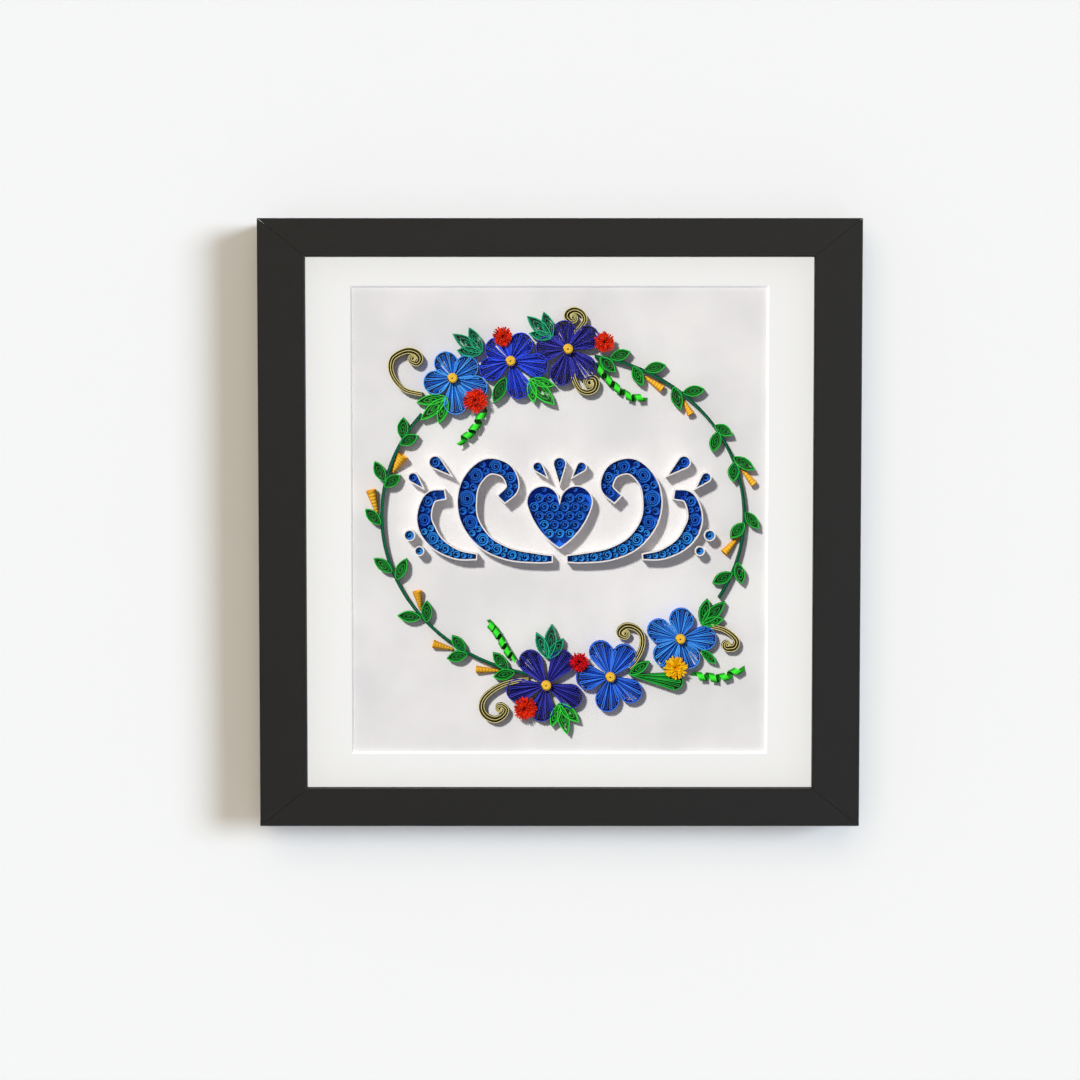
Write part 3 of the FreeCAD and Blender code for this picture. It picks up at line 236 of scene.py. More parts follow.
def add_strip(bm, line, low, high, tone_and_highlight=0.5, paper=PAPER, closed=False):
    """Stands a paper strip on edge along a line on the ground, from one height to another."""
    tone_and_highlight_layer = bm.verts.layers.float.get("tone_and_highlight") or bm.verts.layers.float.new("tone_and_highlight")
    feet = [bm.verts.new(above(spot, low)) for spot in line]
    followers = feet[1:] + feet[:1] if closed else feet[1:]
    edges = [bm.edges.new(pair) for pair in zip(feet, followers)]
    grown = bmesh.ops.extrude_edge_only(bm, edges=edges)["geom"]
    tops = [part for part in grown if isinstance(part, bmesh.types.BMVert)]
    walls = [part for part in grown if isinstance(part, bmesh.types.BMFace)]
    bmesh.ops.translate(bm, verts=tops, vec=(0, (low - high) * MM, 0))
    bmesh.ops.recalc_face_normals(bm, faces=walls)
    shell = bmesh.ops.solidify(bm, geom=walls, thickness=paper * MM)["geom"]
    for part in shell + feet + tops:
        if isinstance(part, bmesh.types.BMVert):
            # Each strip's tone: partly random, partly painted shade where a strip stands lower
            part[tone_and_highlight_layer] = tone_and_highlight


def wound(turns, steps, inner=COIL_END):
    """Radius, as a share, and angle along a coil's strip: one full outer turn, then inwards."""
    count = int(turns * steps)
    for index in range(count + 1):
        turned = turns * index / count
        radius = 1 - (1 - inner) * max(0.0, turned - 1) / (turns - 1)
        yield radius, math.pi + 2 * math.pi * turned


def pinched_coil(base, heading, length, width):
    """The line of a loose coil that is pinched to a point at both ends."""
    along = toward(heading)
    across = leftward(along)
    line = []
    for radius, angle in wound(LEAF_TURNS, LEAF_STEPS):
        pinch = 1 - radius**2 + radius**2 * abs(math.sin(angle))
        reach = length / 2 * (1 + radius * math.cos(angle))
        swing = width / 2 * radius * math.sin(angle) * pinch
        line.append(base + along * reach + across * swing)
    return line


def add_leaf(bm, base, heading, length, width):
    """A coiled leaf: its outer turn has a painted highlight on its cut edge, the turns inside stand
    a little lower and get painted shade.
    """
    top = STRIP_WIDTH + chance.uniform(-0.12, 0.12)
    line = pinched_coil(base, heading, length, width)
    add_strip(bm, line[: LEAF_STEPS + 1], 0, top, chance.uniform(0.75, 1.0))
    add_strip(bm, line[LEAF_STEPS:], 0, top - LEAF_HOLLOW, chance.uniform(0.25, 0.5))


def facing(tree, start, full):
    """How far a face looks to the front: 0 at one slant, 1 at the other."""
    normal = node(tree, "SeparateXYZ", {"Vector": node(tree, "NewGeometry").outputs["Normal"]})
    return stretched(tree, normal.outputs["Y"], start, full)


def quilling_paper(name, side, edge):
    """Dyed matte paper: fibres show as a fine speckle, and the cut edge on top is painted lighter.

    Each strip has its own tone: the higher it is, the paler its cut edge. The side colour is
    painted shade on the strip's walls, the edge colour a painted highlight on faces that look to
    the front, and strips set lower or deeper get a low tone, which is painted shade.
    """
    material, tree, surface = new_material(name)
    tone_and_highlight = node(tree, "Attribute", attribute_name="tone_and_highlight").outputs["Fac"]
    # Painted highlight: faces that look to the front take the lit edge colour, as far as the
    # strip's tone allows
    painted_highlight = reckoned(tree, "MULTIPLY", facing(tree, HIGHLIGHT_START, HIGHLIGHT_FULL), tone_and_highlight)
    fibres = lumps(tree, FIBRE, 3.0)
    value = stretched(tree, fibres, 0.25, 0.75, 0.75, 1.25)
    dye_with_painted_light = blended(tree, painted_highlight, side, edge)
    colour = node(tree, "HueSaturation", {"Value": value, "Color": dye_with_painted_light}).outputs["Color"]
    nap = relief(tree, fibres, 0.3, 0.05)
    finish = {"Base Color": colour, "Roughness": 0.75, "Specular IOR Level": 0.08, "Normal": nap}
    coat(tree, surface, finish)
    return material


art_pieces = []


def new_piece(name, bm, material, slot, *nodes):
    """Turns a bmesh into a finished piece that stands for its CAD nodes."""
    bmesh.ops.recalc_face_normals(bm, faces=bm.faces)
    for face in bm.faces:
        face.smooth = True
    mesh = bpy.data.meshes.new(name)
    bm.to_mesh(mesh)
    bm.free()
    mesh.set_sharp_from_angle(angle=math.radians(40))
    mesh.materials.append(material)
    piece = bpy.data.objects.new(name, mesh)
    bpy.context.scene.collection.objects.link(piece)
    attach(piece, "root")
    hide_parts(*nodes)
    art_pieces.append(piece)


def add_vine(name, ends, leaf_list):
    """A stem of strips that lie side by side, and the coiled leaves along it."""
    start, end = ends
    count = round(abs(end - start) / 2)
    stem = bmesh.new()
    for layer in range(STEM_STRIPS):
        offset = (layer - (STEM_STRIPS - 1) / 2) * STEM_PITCH
        line = [ring_spot(start + (end - start) * i / count, offset) for i in range(count + 1)]
        # Each next strip stands lower and has a lower tone, which paints shade on its cut edge
        add_strip(stem, line, 0, STEM_TOP - STEM_STEP * layer, 0.9 - 0.4 * layer)
    new_piece(name + "_stem", stem, stem_green, "leaf_green_paper", name)
    coiled = bmesh.new()
    for station, heading, length in leaf_list:
        add_leaf(coiled, ring_spot(station), heading, length, LEAF_WIDTH)
    new_piece(name + "_leaves", coiled, leaf_green, "leaf_green_paper", name)


# Each paper is given as two colours: the side colour is painted shade, the edge colour a painted
# highlight
stem_green = quilling_paper("bottle_green_quilling_paper", "#00341F", "#0C7048")
leaf_green = quilling_paper("leaf_green_quilling_paper", "#045E1A", "#2EC644")
add_vine("left_vine", LEFT_VINE, LEFT_LEAVES)
add_vine("right_vine", RIGHT_VINE, RIGHT_LEAVES)

# Leaf sprigs
# Three loose coils pinched to leaves and glued together at their stem, tucked in between
# the flowers. They are cut from a bluish and from a bright green paper.
SPRIGS = [
    ("top_left_sprig", 114.3, 7.8, [(147, 18.0, 6.5), (117, 14.8, 6.0), (174, 13.0, 5.5)]),
    ("top_right_sprig", 93.2, 7.7, [(139, 17.0, 6.5), (108, 14.1, 6.0), (168, 12.0, 5.0)]),
    ("left_bright_sprig", 130.8, -2.8, [(190, 16.0, 5.5), (221, 18.0, 6.0), (252, 14.2, 5.5)]),
    ("middle_bright_sprig", 101.9, -11.7, [(281, 12.6, 5.0), (314, 17.5, 6.5), (346, 13.5, 5.0)]),
    ("bottom_teal_sprig", 265.0, -9.2, [(115, 15.0, 6.0), (84, 18.0, 6.5), (54, 13.0, 5.5)]),
    ("bottom_bright_sprig", 269.1, 13.4, [(250, 12.6, 5.0), (284, 16.5, 6.0), (316, 13.0, 5.0)]),
    ("bottom_right_sprig", 318.7, 1.2, [(75, 13.6, 5.5), (43, 17.0, 6.0), (14, 12.0, 5.0)]),
]
# Side colours painted as shade, edge colours as painted highlight
teal_green = quilling_paper("bluish_green_quilling_paper", "#046A44", "#2CB484")
bright_green = quilling_paper("bright_green_quilling_paper", "#0A8C20", "#44E448")
SPRIG_PAPERS = {
    "top_left_sprig": (teal_green, "teal_green_paper"),
    "top_right_sprig": (teal_green, "teal_green_paper"),
    "bottom_teal_sprig": (teal_green, "teal_green_paper"),
    "left_bright_sprig": (bright_green, "bright_green_paper"),
    "middle_bright_sprig": (bright_green, "bright_green_paper"),
    "bottom_bright_sprig": (bright_green, "bright_green_paper"),
    "bottom_right_sprig": (leaf_green, "leaf_green_paper"),
}

for name, station, offset, leaf_list in SPRIGS:
    bm = bmesh.new()
    for heading, length, width in leaf_list:
        add_leaf(bm, ring_spot(station, offset), heading, length, width)
    material, slot = SPRIG_PAPERS[name]
    new_piece(name + "_coiled", bm, material, slot, name)

# Single leaves
# Two pinched coils of green strip on their own, glued down beside flowers where the ground
# would show between them.
SINGLE_LEAVES = [(109.7, -7.6, 244, 14.8, 6.5), (313.3, 10.7, 318, 10.8, 4.5)]

bm = bmesh.new()
for station, offset, heading, length, width in SINGLE_LEAVES:
    add_leaf(bm, ring_spot(station, offset), heading, length, width)
new_piece("single_leaves_coiled", bm, leaf_green, "leaf_green_paper", "single_leaves")

# Long husked leaf
# One long leaf of strip loops husked round pins, wider to its round end, beside a coiled one.
# Both are cut from the vines' green paper and share one foot.
HUSK_STATION = (290.5, 4.1)
HUSK_SHAPE = (352, 28.0, 9.0, 5, 1.4)
LEAF_BESIDE = (34, 12.5, 5.0)
WRAP_STEPS = 16
# Every second loop is set deeper and given a low tone, so that it shows as a dark line of real and
# painted shade
DEEP_TOP = 0.7
DEEP_REACH = 0.3


def drop_outline(base, heading, length, width, count=12):
    """A drop seen from above: a point at its base, straight flanks and a round end."""
    along = toward(heading)
    across = leftward(along)
    radius = width / 2
    middle = base + along * (length - radius)
    lean = math.asin(min(0.95, radius / (length - radius)))
    first = -math.pi / 2 - lean
    sweep = math.pi + 2 * lean
    line = [base]
    for index in range(count + 1):
        angle = first + sweep * index / count
        line.append(middle + along * radius * math.cos(angle) + across * radius * math.sin(angle))
    return line


def add_husk(bm, base, heading, length, width, loops, loop_width):
    """Loops of strip fanned out from one point, and a strip wrapped round them all."""
    wrap = drop_outline(base, heading, length, width, WRAP_STEPS)
    top = STRIP_WIDTH + chance.uniform(0, 0.15)
    add_strip(bm, wrap, 0, top, chance.uniform(0.5, 0.9), closed=True)
    radius = width / 2 - PAPER
    middle = length - width / 2
    widest = math.asin((radius - loop_width / 2) / middle)
    for index in range(loops):
        deep = index % 2
        lean = widest * (2 * index / (loops - 1) - 1) + chance.uniform(-0.012, 0.012)
        reach = middle * math.cos(lean) + math.sqrt(radius**2 - (middle * math.sin(lean)) ** 2)
        reach -= chance.uniform(0.1, 0.9) + DEEP_REACH * deep
        line = drop_outline(base, heading + math.degrees(lean), reach, loop_width)
        top = STRIP_WIDTH - chance.uniform(0, 0.3) - DEEP_TOP * deep
        # Deep loops get painted shade on their cut edges, the others a painted highlight
        tone_and_highlight = chance.uniform(0.1, 0.35) if deep else chance.uniform(0.55, 1.0)
        add_strip(bm, line, 0, top, tone_and_highlight, closed=True)


bm = bmesh.new()
add_husk(bm, ring_spot(*HUSK_STATION), *HUSK_SHAPE)
add_leaf(bm, ring_spot(*HUSK_STATION), *LEAF_BESIDE)
new_piece("long_leaf_husked", bm, leaf_green, "leaf_green_paper", "long_husked_leaf")

# Rolled cones
# Yellow strip wound on a slant into slim hollow cones. They lie beside the vines with their
# narrow ends at the stem, and each turn of the strip shows as a small step, with painted shade in
# its groove.
CONES = [
    (164.3, -2.2, 57, 11.0, 5.8),
    (179.2, 2.2, 104, 12.5, 5.4),
    (216.8, -2.0, 100, 10.2, 5.0),
    (233.6, 2.2, 164, 10.8, 4.4),
    (249.8, 1.9, 176, 12.0, 4.0),
    (62.6, -2.8, 325, 11.4, 4.2),
    (47.4, -2.4, 298, 8.6, 4.0),
    (16.4, 2.2, 309, 10.5, 4.0),
    (352.2, -2.2, 228, 11.2, 4.4),
]
CONE_TURNS = 7
CONE_TIP = 0.7
CONE_WALL = 0.5
CONE_STEP = 0.4
CONE_SIDES = 18
# The share of a cone's length, from its tip, that is solid
CONE_SOLID = 0.35


def add_cone(bm, station, offset, heading, length, mouth):
    """A stepped hollow cone on its side, spun from its profile and laid down on the ground."""
    turn = length / CONE_TURNS
    # Each profile point: reach, radius and tone; the tone paints shade into the grooves and a
    # highlight on each step's outer edge
    profile = [(0, 0, 0.1)]
    for index in range(CONE_TURNS):
        radius = CONE_TIP + (mouth / 2 - CONE_TIP) * (index + 1) / CONE_TURNS
        profile.append((index * turn, radius - CONE_STEP, 0.0))
        profile.append(((index + 0.3) * turn, radius - CONE_STEP / 3, 0.6))
        profile.append(((index + 0.9) * turn, radius, 0.9))
    profile.append((length, mouth / 2 - CONE_WALL, 0.5))
    profile.append((length * CONE_SOLID, 0, 0.0))
    roll = bmesh.new()
    tone_and_highlight_layer = roll.verts.layers.float.new("tone_and_highlight")
    points = []
    for reach, radius, tone_and_highlight in profile:
        points.append(roll.verts.new(Vector((reach, radius, 0)) * MM))
        points[-1][tone_and_highlight_layer] = tone_and_highlight
    edges = [roll.edges.new(pair) for pair in zip(points, points[1:])]
    bmesh.ops.spin(
        roll,
        geom=points + edges,
        cent=(0, 0, 0),
        axis=(1, 0, 0),
        angle=2 * math.pi,
        steps=CONE_SIDES,
        use_merge=True,
    )
    bmesh.ops.remove_doubles(roll, verts=roll.verts, dist=0.01 * MM)
    tilt = math.atan2(mouth / 2 - CONE_TIP, length)
    foot = above(ring_spot(station, offset), CONE_TIP + 0.1)
    lay = Matrix.Translation(foot) @ Matrix.Rotation(-math.radians(heading), 4, "Y")
    lay = lay @ Matrix.Rotation(-tilt, 4, "Z")
    bmesh.ops.transform(roll, matrix=lay, verts=roll.verts)
    lowest = max(vertex.co.y for vertex in roll.verts)
    bmesh.ops.translate(roll, verts=roll.verts, vec=(0, ground_level - lowest, 0))
    part = bpy.data.meshes.new("cone")
    roll.to_mesh(part)
    roll.free()
    bm.from_mesh(part)
    bpy.data.meshes.remove(part)


bm = bmesh.new()
for cone in CONES:
    add_cone(bm, *cone)
# Side colour painted as shade, edge colour as painted highlight
amber = quilling_paper("amber_quilling_paper", "#E09410", "#FFD044")
new_piece("vine_cones_wound", bm, amber, "amber_paper", "vine_cones")

# Olive scrolls
# Five olive strips laid together on edge, fanned apart in the middle of the scroll and
# rolled in together at its end. The higher strips' cut edges are painted pale as a highlight and
# show as fine lines; the lower strips between get painted shade.
PER_SPAN = 6
SCROLL_STRIPS = 5
SCROLL_WIDTH = 3.0
# Thickness of the higher strips, whose edges get the painted highlight, and of the lower ones,
# which get painted shade
PALE_PAPER = 0.34
DEEP_PAPER = 0.5
# The strips' ends are rolled in, by this many turns that shrink from one radius to another
ROLLED_TURNS = 0.9
ROLLED_START = 2.3
ROLLED_END = 0.9
ROLLED_STEP = 0.4
SCROLL_SHARES = (0.6, 1.0, 0.22)
SCROLLS = [
    (
        "top_left_scroll",
        (125.8, 3.4),
        [(-15.5, -8.3), (-23.9, -6.3), (-29.0, -1.6), (-31.6, 4.1), (-30.9, 9.7), (-27.1, 12.8),
         (-22.2, 14.2), (-18.0, 12.8), (-16.3, 9.7), (-18.0, 7.2), (-20.6, 7.8)],
    ),
    (
        "top_right_scroll",
        (88.5, 2.0),
        [(3.5, 7.6), (7.8, 12.8), (8.7, 15.6), (7.0, 18.6), (3.5, 20.0), (0.3, 18.8),
         (-0.6, 16.4), (0.8, 14.6)],
    ),
    (
        "top_inner_scroll",
        (88.5, 2.0),
        [(2.4, -10.0), (3.3, -15.4), (5.8, -20.0), (9.4, -21.8), (13.0, -20.8), (14.4, -17.8),
         (13.4, -15.2), (11.4, -14.8)],
    ),
    (
        "bottom_left_scroll",
        (264.9, 4.1),
        [(-9.0, 2.8), (-14.5, 2.4), (-23.0, -0.1), (-29.4, -4.1), (-32.7, -8.2), (-33.2, -12.5),
         (-30.7, -16.4), (-26.0, -18.1), (-21.7, -15.9), (-20.2, -12.6), (-22.2, -10.6)],
    ),
    (
        "bottom_inner_scroll",
        (284.8, 2.3),
        [(9.6, 4.4), (13.2, 8.3), (16.1, 14.1), (16.8, 19.1), (15.4, 23.1), (11.8, 25.6),
         (7.9, 26.0), (4.9, 23.8), (4.6, 21.4), (6.4, 20.2)],
    ),
    (
        "bottom_right_scroll",
        (310.4, -0.3),
        [(15.7, 6.6), (22.4, 4.8), (27.2, 1.6), (29.3, -1.7), (27.9, -4.8), (24.6, -5.4)],
    ),
]


def smooth_line(points, per_span=PER_SPAN):
    """A smooth line through points on the ground."""
    padded = [points[0] * 2 - points[1]] + points + [points[-1] * 2 - points[-2]]
    line = []
    for before, start, end, after in zip(padded, padded[1:], padded[2:], padded[3:]):
        for index in range(per_span):
            t = index / per_span
            line.append(
                start
                + (end - before) * (t / 2)
                + (before * 2 - start * 5 + end * 4 - after) * (t * t / 2)
                + (start * 3 - before - end * 3 + after) * (t**3 / 2)
            )
    return line + [points[-1]]


def width_at(share, widths):
    """The width at a share of a line, from its widths at the start, the middle and the end."""
    start, middle, end = widths
    if share < 0.5:
        return start + (middle - start) * share * 2
    return middle + (end - middle) * (share * 2 - 1)


def beside(line, reach, widths):
    """A line moved to its left by a share of a width that changes along it."""
    moved = []
    for index, spot in enumerate(line):
        ahead = line[min(index + 1, len(line) - 1)]
        behind = line[max(index - 1, 0)]
        across = leftward((ahead - behind).normalized())
        moved.append(spot + across * reach * width_at(index / (len(line) - 1), widths))
    return moved


def rolled_in(line):
    """A line whose end is rolled in further, the way that it already bends."""
    ahead = (line[-1] - line[-2]).normalized()
    before, corner, end = line[-1 - 2 * PER_SPAN], line[-1 - PER_SPAN], line[-1]
    bend = math.copysign(1.0, (corner - before).cross(end - corner))
    rolled = list(line)
    turned = 0.0
    whole = ROLLED_TURNS * 2 * math.pi
    while turned < whole:
        radius = ROLLED_START + (ROLLED_END - ROLLED_START) * turned / whole
        turned += ROLLED_STEP / radius
        rolled.append(rolled[-1] + Matrix.Rotation(bend * turned, 2) @ ahead * ROLLED_STEP)
    return rolled


# Side colour painted as shade, edge colour as painted highlight
olive = quilling_paper("olive_quilling_paper", "#3E320A", "#DDD08A")
for name, root, offsets in SCROLLS:
    foot = ring_spot(*root)
    middle_line = rolled_in(smooth_line([foot + Vector(offset) for offset in offsets]))
    widths = [share * SCROLL_WIDTH for share in SCROLL_SHARES]
    bm = bmesh.new()
    for layer in range(SCROLL_STRIPS):
        reach = layer / (SCROLL_STRIPS - 1) - 0.5
        line = beside(middle_line, reach, widths)
        deep = layer % 2
        height = STRIP_WIDTH - 0.5 * abs(reach) - chance.uniform(0, 0.2) - 0.6 * deep
        # Lower strips get painted shade on their cut edges, the higher ones a painted highlight
        tone_and_highlight, paper = (0.0, DEEP_PAPER) if deep else (1.0, PALE_PAPER)
        add_strip(bm, line, 0, height, tone_and_highlight, paper=paper)
    new_piece(name + "_layered", bm, olive, "olive_paper", name)

# Curled tendrils
# A lime strip wound on a stick and pulled out like a spring, glued down by one end. The white
# ground shows between its turns.
TENDRIL_RADIUS = 2.0
TENDRIL_STRIP = 3.4
TENDRIL_STEPS = 36
TENDRIL_LIFT = 1.15
THIN_PAPER = 0.2
TENDRILS = [
    (
        "top_left_tendril",
        (125.8, 3.4),
        [(15.7, -16.1), (12.4, -23.3), (8.6, -28.4), (3.2, -32.4)],
        3.5,
    ),
    (
        "top_right_tendril",
        (88.5, 2.0),
        [(14.4, -8.1), (19.8, -14.7), (25.1, -19.8), (32.2, -24.4), (39.1, -24.6)],
        5,
    ),
    (
        "bottom_left_tendril",
        (264.9, 4.1),
        [(-29.4, 31.6), (-25.5, 26.9), (-21.3, 19.6), (-17.1, 12.8)],
        4.5,
    ),
    (
        "bottom_right_tendril",
        (310.4, -0.3),
        [(7.5, -19.4), (13.9, -19.7), (19.7, -20.4), (25.8, -18.6), (31.9, -15.0)],
        4,
    ),
]


def add_curl(bm, axis, turns):
    """A strip wound round a line on the ground, its flat face outwards."""
    tone_and_highlight_layer = bm.verts.layers.float.new("tone_and_highlight")
    steps = len(axis) - 1
    starts = []
    shifts = []
    for index, spot in enumerate(axis):
        ahead = axis[min(index + 1, steps)]
        behind = axis[max(index - 1, 0)]
        along = (ahead - behind).normalized()
        turn = 2 * math.pi * turns * index / steps
        swing = leftward(along) * TENDRIL_RADIUS * math.sin(turn)
        height = TENDRIL_RADIUS * (TENDRIL_LIFT - math.cos(turn))
        starts.append(bm.verts.new(above(spot + swing - along * TENDRIL_STRIP / 2, height)))
        # Painted highlight on the top of each turn, painted shade on its underside
        starts[-1][tone_and_highlight_layer] = 0.5 - 0.5 * math.cos(turn)
        shifts.append(Vector((along.x, 0, along.y)) * TENDRIL_STRIP * MM)
    edges = [bm.edges.new(pair) for pair in zip(starts, starts[1:])]
    places = dict(zip(starts, shifts))
    grown = bmesh.ops.extrude_edge_only(bm, edges=edges)["geom"]
    tops = [part for part in grown if isinstance(part, bmesh.types.BMVert)]
    walls = [part for part in grown if isinstance(part, bmesh.types.BMFace)]
    for top in tops:
        neighbours = [edge.other_vert(top) for edge in top.link_edges]
        foot = next(vertex for vertex in neighbours if vertex in places)
        top.co += places[foot]
        top[tone_and_highlight_layer] = foot[tone_and_highlight_layer]
    bmesh.ops.recalc_face_normals(bm, faces=walls)
    bmesh.ops.solidify(bm, geom=walls, thickness=THIN_PAPER * MM)


# Side colour painted as shade, edge colour as painted highlight
lime = quilling_paper("lime_quilling_paper", "#088208", "#40F038")
for name, root, offsets, turns in TENDRILS:
    foot = ring_spot(*root)
    axis = smooth_line([foot + Vector(offset) for offset in offsets], TENDRIL_STEPS)
    bm = bmesh.new()
    add_curl(bm, axis, turns)
    new_piece(name + "_curled", bm, lime, "lime_paper", name)

# Five-petal flowers
# Each petal is a husk of blue strip loops fanned out from the flower's middle and held by a
# strip wrapped round them. White ground shows between the looser loops.
PETAL_WIDTH = 12.2
PETAL_LOOPS = 7
LOOP_WIDTH = 1.5
# Side colours painted as shade, edge colours as painted highlight
sky = quilling_paper("sky_blue_quilling_paper", "#0050C8", "#4CA8FF")
royal = quilling_paper("royal_blue_quilling_paper", "#0418A8", "#3A5CFF")
navy = quilling_paper("navy_quilling_paper", "#06065C", "#4042BC")
bright_royal = quilling_paper("bright_royal_quilling_paper", "#0028A8", "#3E84FF")
FLOWERS = [
    ("top_middle_flower", royal, "royal_paper", 106.8, -0.6,
     [(139, 15.3), (58, 16.0), (-9, 19.4), (-73, 19.8), (202, 16.6)]),
    ("top_left_flower", sky, "sky_paper", 125.8, 3.4,
     [(114, 14.3), (38, 15.0), (194, 15.2), (-22, 18.6), (-83, 18.6)]),
    ("top_right_flower", navy, "navy_paper", 88.5, 2.0,
     [(102, 14.8), (31, 17.6), (-47, 18.5), (-104, 18.9), (177, 16.5)]),
    ("bottom_left_flower", navy, "navy_paper", 264.9, 4.1,
     [(124, 20.4), (55, 20.4), (-25, 20.0), (-100, 19.0), (191, 20.8)]),
    ("bottom_middle_flower", bright_royal, "bright_royal_paper", 284.8, 2.3,
     [(111, 19.4), (56, 18.9), (-36, 18.9), (-97, 18.1), (183, 17.6)]),
    ("bottom_right_flower", sky, "sky_paper", 310.4, -0.3,
     [(86, 15.8), (1, 18.5), (-66, 16.4), (-133, 17.4), (159, 17.6)]),
]

for name, material, slot, station, offset, petals in FLOWERS:
    bm = bmesh.new()
    middle = ring_spot(station, offset)
    for heading, length in petals:
        add_husk(bm, middle, heading, length, PETAL_WIDTH, PETAL_LOOPS, LOOP_WIDTH)
    new_piece(name + "_petals_husked", bm, material, slot, name + "_petals")

# Flower centres
# A tight coil of amber strip with a small eye, glued on the middle of each flower. It stands
# on top of the petals.
CENTRE_RADIUS = 2.5
CENTRE_HEIGHT = 2.4
CENTRE_TURNS = 5
CENTRE_STEPS = 20
CENTRE_EYE = 0.25
CENTRE_PAPER = 0.42


def round_coil(centre, radius, turns, steps, inner):
    """The line of a round coil on the ground."""
    return [
        centre + Vector((math.cos(angle), math.sin(angle))) * radius * share
        for share, angle in wound(turns, steps, inner)
    ]


for name, material, slot, station, offset, petals in FLOWERS:
    bm = bmesh.new()
    middle = ring_spot(station, offset)
    line = round_coil(middle, CENTRE_RADIUS, CENTRE_TURNS, CENTRE_STEPS, CENTRE_EYE)
    add_strip(bm, line, STRIP_WIDTH, STRIP_WIDTH + CENTRE_HEIGHT, 0.8, paper=CENTRE_PAPER)
    new_piece(name + "_centre_coiled", bm, amber, "amber_paper", name + "_centre")

# Fringed flowers
# A strip snipped into a fine fringe along one edge and rolled up tight. The fringe is spread
# with a thumb: short upright blades in the middle, long flat ones round the rim.
FRINGE_RINGS = 7
BLADE_WIDTH = 0.6
BLADE_PAPER = 0.18
FRINGE_FLOOR = 4.3
FRINGE_RISE = 2.0
LOWEST_RISE = 0.3
# Blades in the first ring, and how many more each next ring has
FIRST_BLADES = 9
MORE_BLADES = 5
# Where along a blade it bends, and how far its arch turns
BLADE_BENDS = (0.0, 0.4, 0.75, 1.0)
BLADE_ARCH = 0.55 * math.pi
ROLL_RADIUS = 1.2
ROLL_TURNS = 3
ROLL_STEPS = 12
ROLL_EYE = 0.3
# Side colours painted as shade, edge colours as painted highlight
orange_red = quilling_paper("orange_red_quilling_paper", "#8C0600", "#FF3004")
crimson = quilling_paper("crimson_quilling_paper", "#680004", "#F40C1C")
yellow = quilling_paper("yellow_quilling_paper", "#D88000", "#FFD208")
FRINGED = [
    ("top_red_fringed_flower", orange_red, "orange_red_paper", 107.1, 12.3, 5.5),
    ("right_red_fringed_flower", orange_red, "orange_red_paper", 77.8, 7.3, 5.8),
    ("left_red_fringed_flower", orange_red, "orange_red_paper", 123.1, -12.4, 6.8),
    ("crimson_fringed_flower", crimson, "crimson_paper", 275.6, -7.7, 5.5),
    ("bottom_red_fringed_flower", orange_red, "orange_red_paper", 259.7, 17.3, 6.5),
    ("yellow_fringed_flower", yellow, "yellow_paper", 304.1, 10.7, 6.5),
]


def add_blade(bm, tone_and_highlight_layer, centre, heading, reach, top):
    """One blade of the fringe: a narrow strip that leaves the roll upright and bends outwards."""
    out = toward(heading)
    across = leftward(out)
    shift = Vector((across.x, 0, across.y)) * BLADE_WIDTH * MM
    points = []
    drift = chance.uniform(-0.5, 0.5)
    for share in BLADE_BENDS:
        aside = across * (drift * share - BLADE_WIDTH / 2)
        spot = centre + out * (0.2 + (reach - 0.2) * share) + aside
        height = FRINGE_FLOOR + top * math.sin(share * BLADE_ARCH)
        points.append(bm.verts.new(above(spot, height)))
    edges = [bm.edges.new(pair) for pair in zip(points, points[1:])]
    grown = bmesh.ops.extrude_edge_only(bm, edges=edges)["geom"]
    tops = [part for part in grown if isinstance(part, bmesh.types.BMVert)]
    walls = [part for part in grown if isinstance(part, bmesh.types.BMFace)]
    bmesh.ops.translate(bm, verts=tops, vec=shift)
    shell = bmesh.ops.solidify(bm, geom=walls, thickness=BLADE_PAPER * MM)["geom"]
    tone_and_highlight = chance.uniform(0.0, 1.0)
    for part in shell + points + tops:
        if isinstance(part, bmesh.types.BMVert):
            part[tone_and_highlight_layer] = tone_and_highlight


for name, material, slot, station, offset, radius in FRINGED:
    centre = ring_spot(station, offset)
    bm = bmesh.new()
    roll = round_coil(centre, ROLL_RADIUS, ROLL_TURNS, ROLL_STEPS, ROLL_EYE)
    add_strip(bm, roll, 0, FRINGE_FLOOR, 0.3)
    tone_and_highlight_layer = bm.verts.layers.float.get("tone_and_highlight")
    for ring in range(FRINGE_RINGS):
        share = (ring + 1) / FRINGE_RINGS
        count = FIRST_BLADES + MORE_BLADES * ring
        for index in range(count):
            heading = 360 * (index + chance.uniform(-0.3, 0.3)) / count + 17 * ring
            reach = radius * (0.12 + 0.88 * share) * chance.uniform(0.8, 1.0)
            top = FRINGE_RISE * (1.0 - 0.7 * share) * chance.uniform(0.55, 1.1)
            add_blade(bm, tone_and_highlight_layer, centre, heading, reach, max(LOWEST_RISE, top))
    new_piece(name + "_rolled", bm, material, slot, name)

# Middle ornament
# A heart between mirrored volutes and drops: walls of stiff white strip on edge, filled with
# blue coils that stand a little lower than the walls. A thin blue sheet under the coils stands in
# for the blue shade between them.
WALL_HEIGHT = 6.0
WALL = 0.6
COIL_HEIGHT = 5.0
# The height of the thin blue sheet under the coils, which stands in for the blue shade between them
BED = 0.3
COIL_GAP = 0.15
# How much painted highlight the blue sheet's face takes
BED_TONE = 0.4
COIL_TURNS_PER_MM = 0.95
FEWEST_TURNS = 1.9
COIL_STEPS = 14
COIL_EYE = 0.26
COIL_PAPER = 0.42
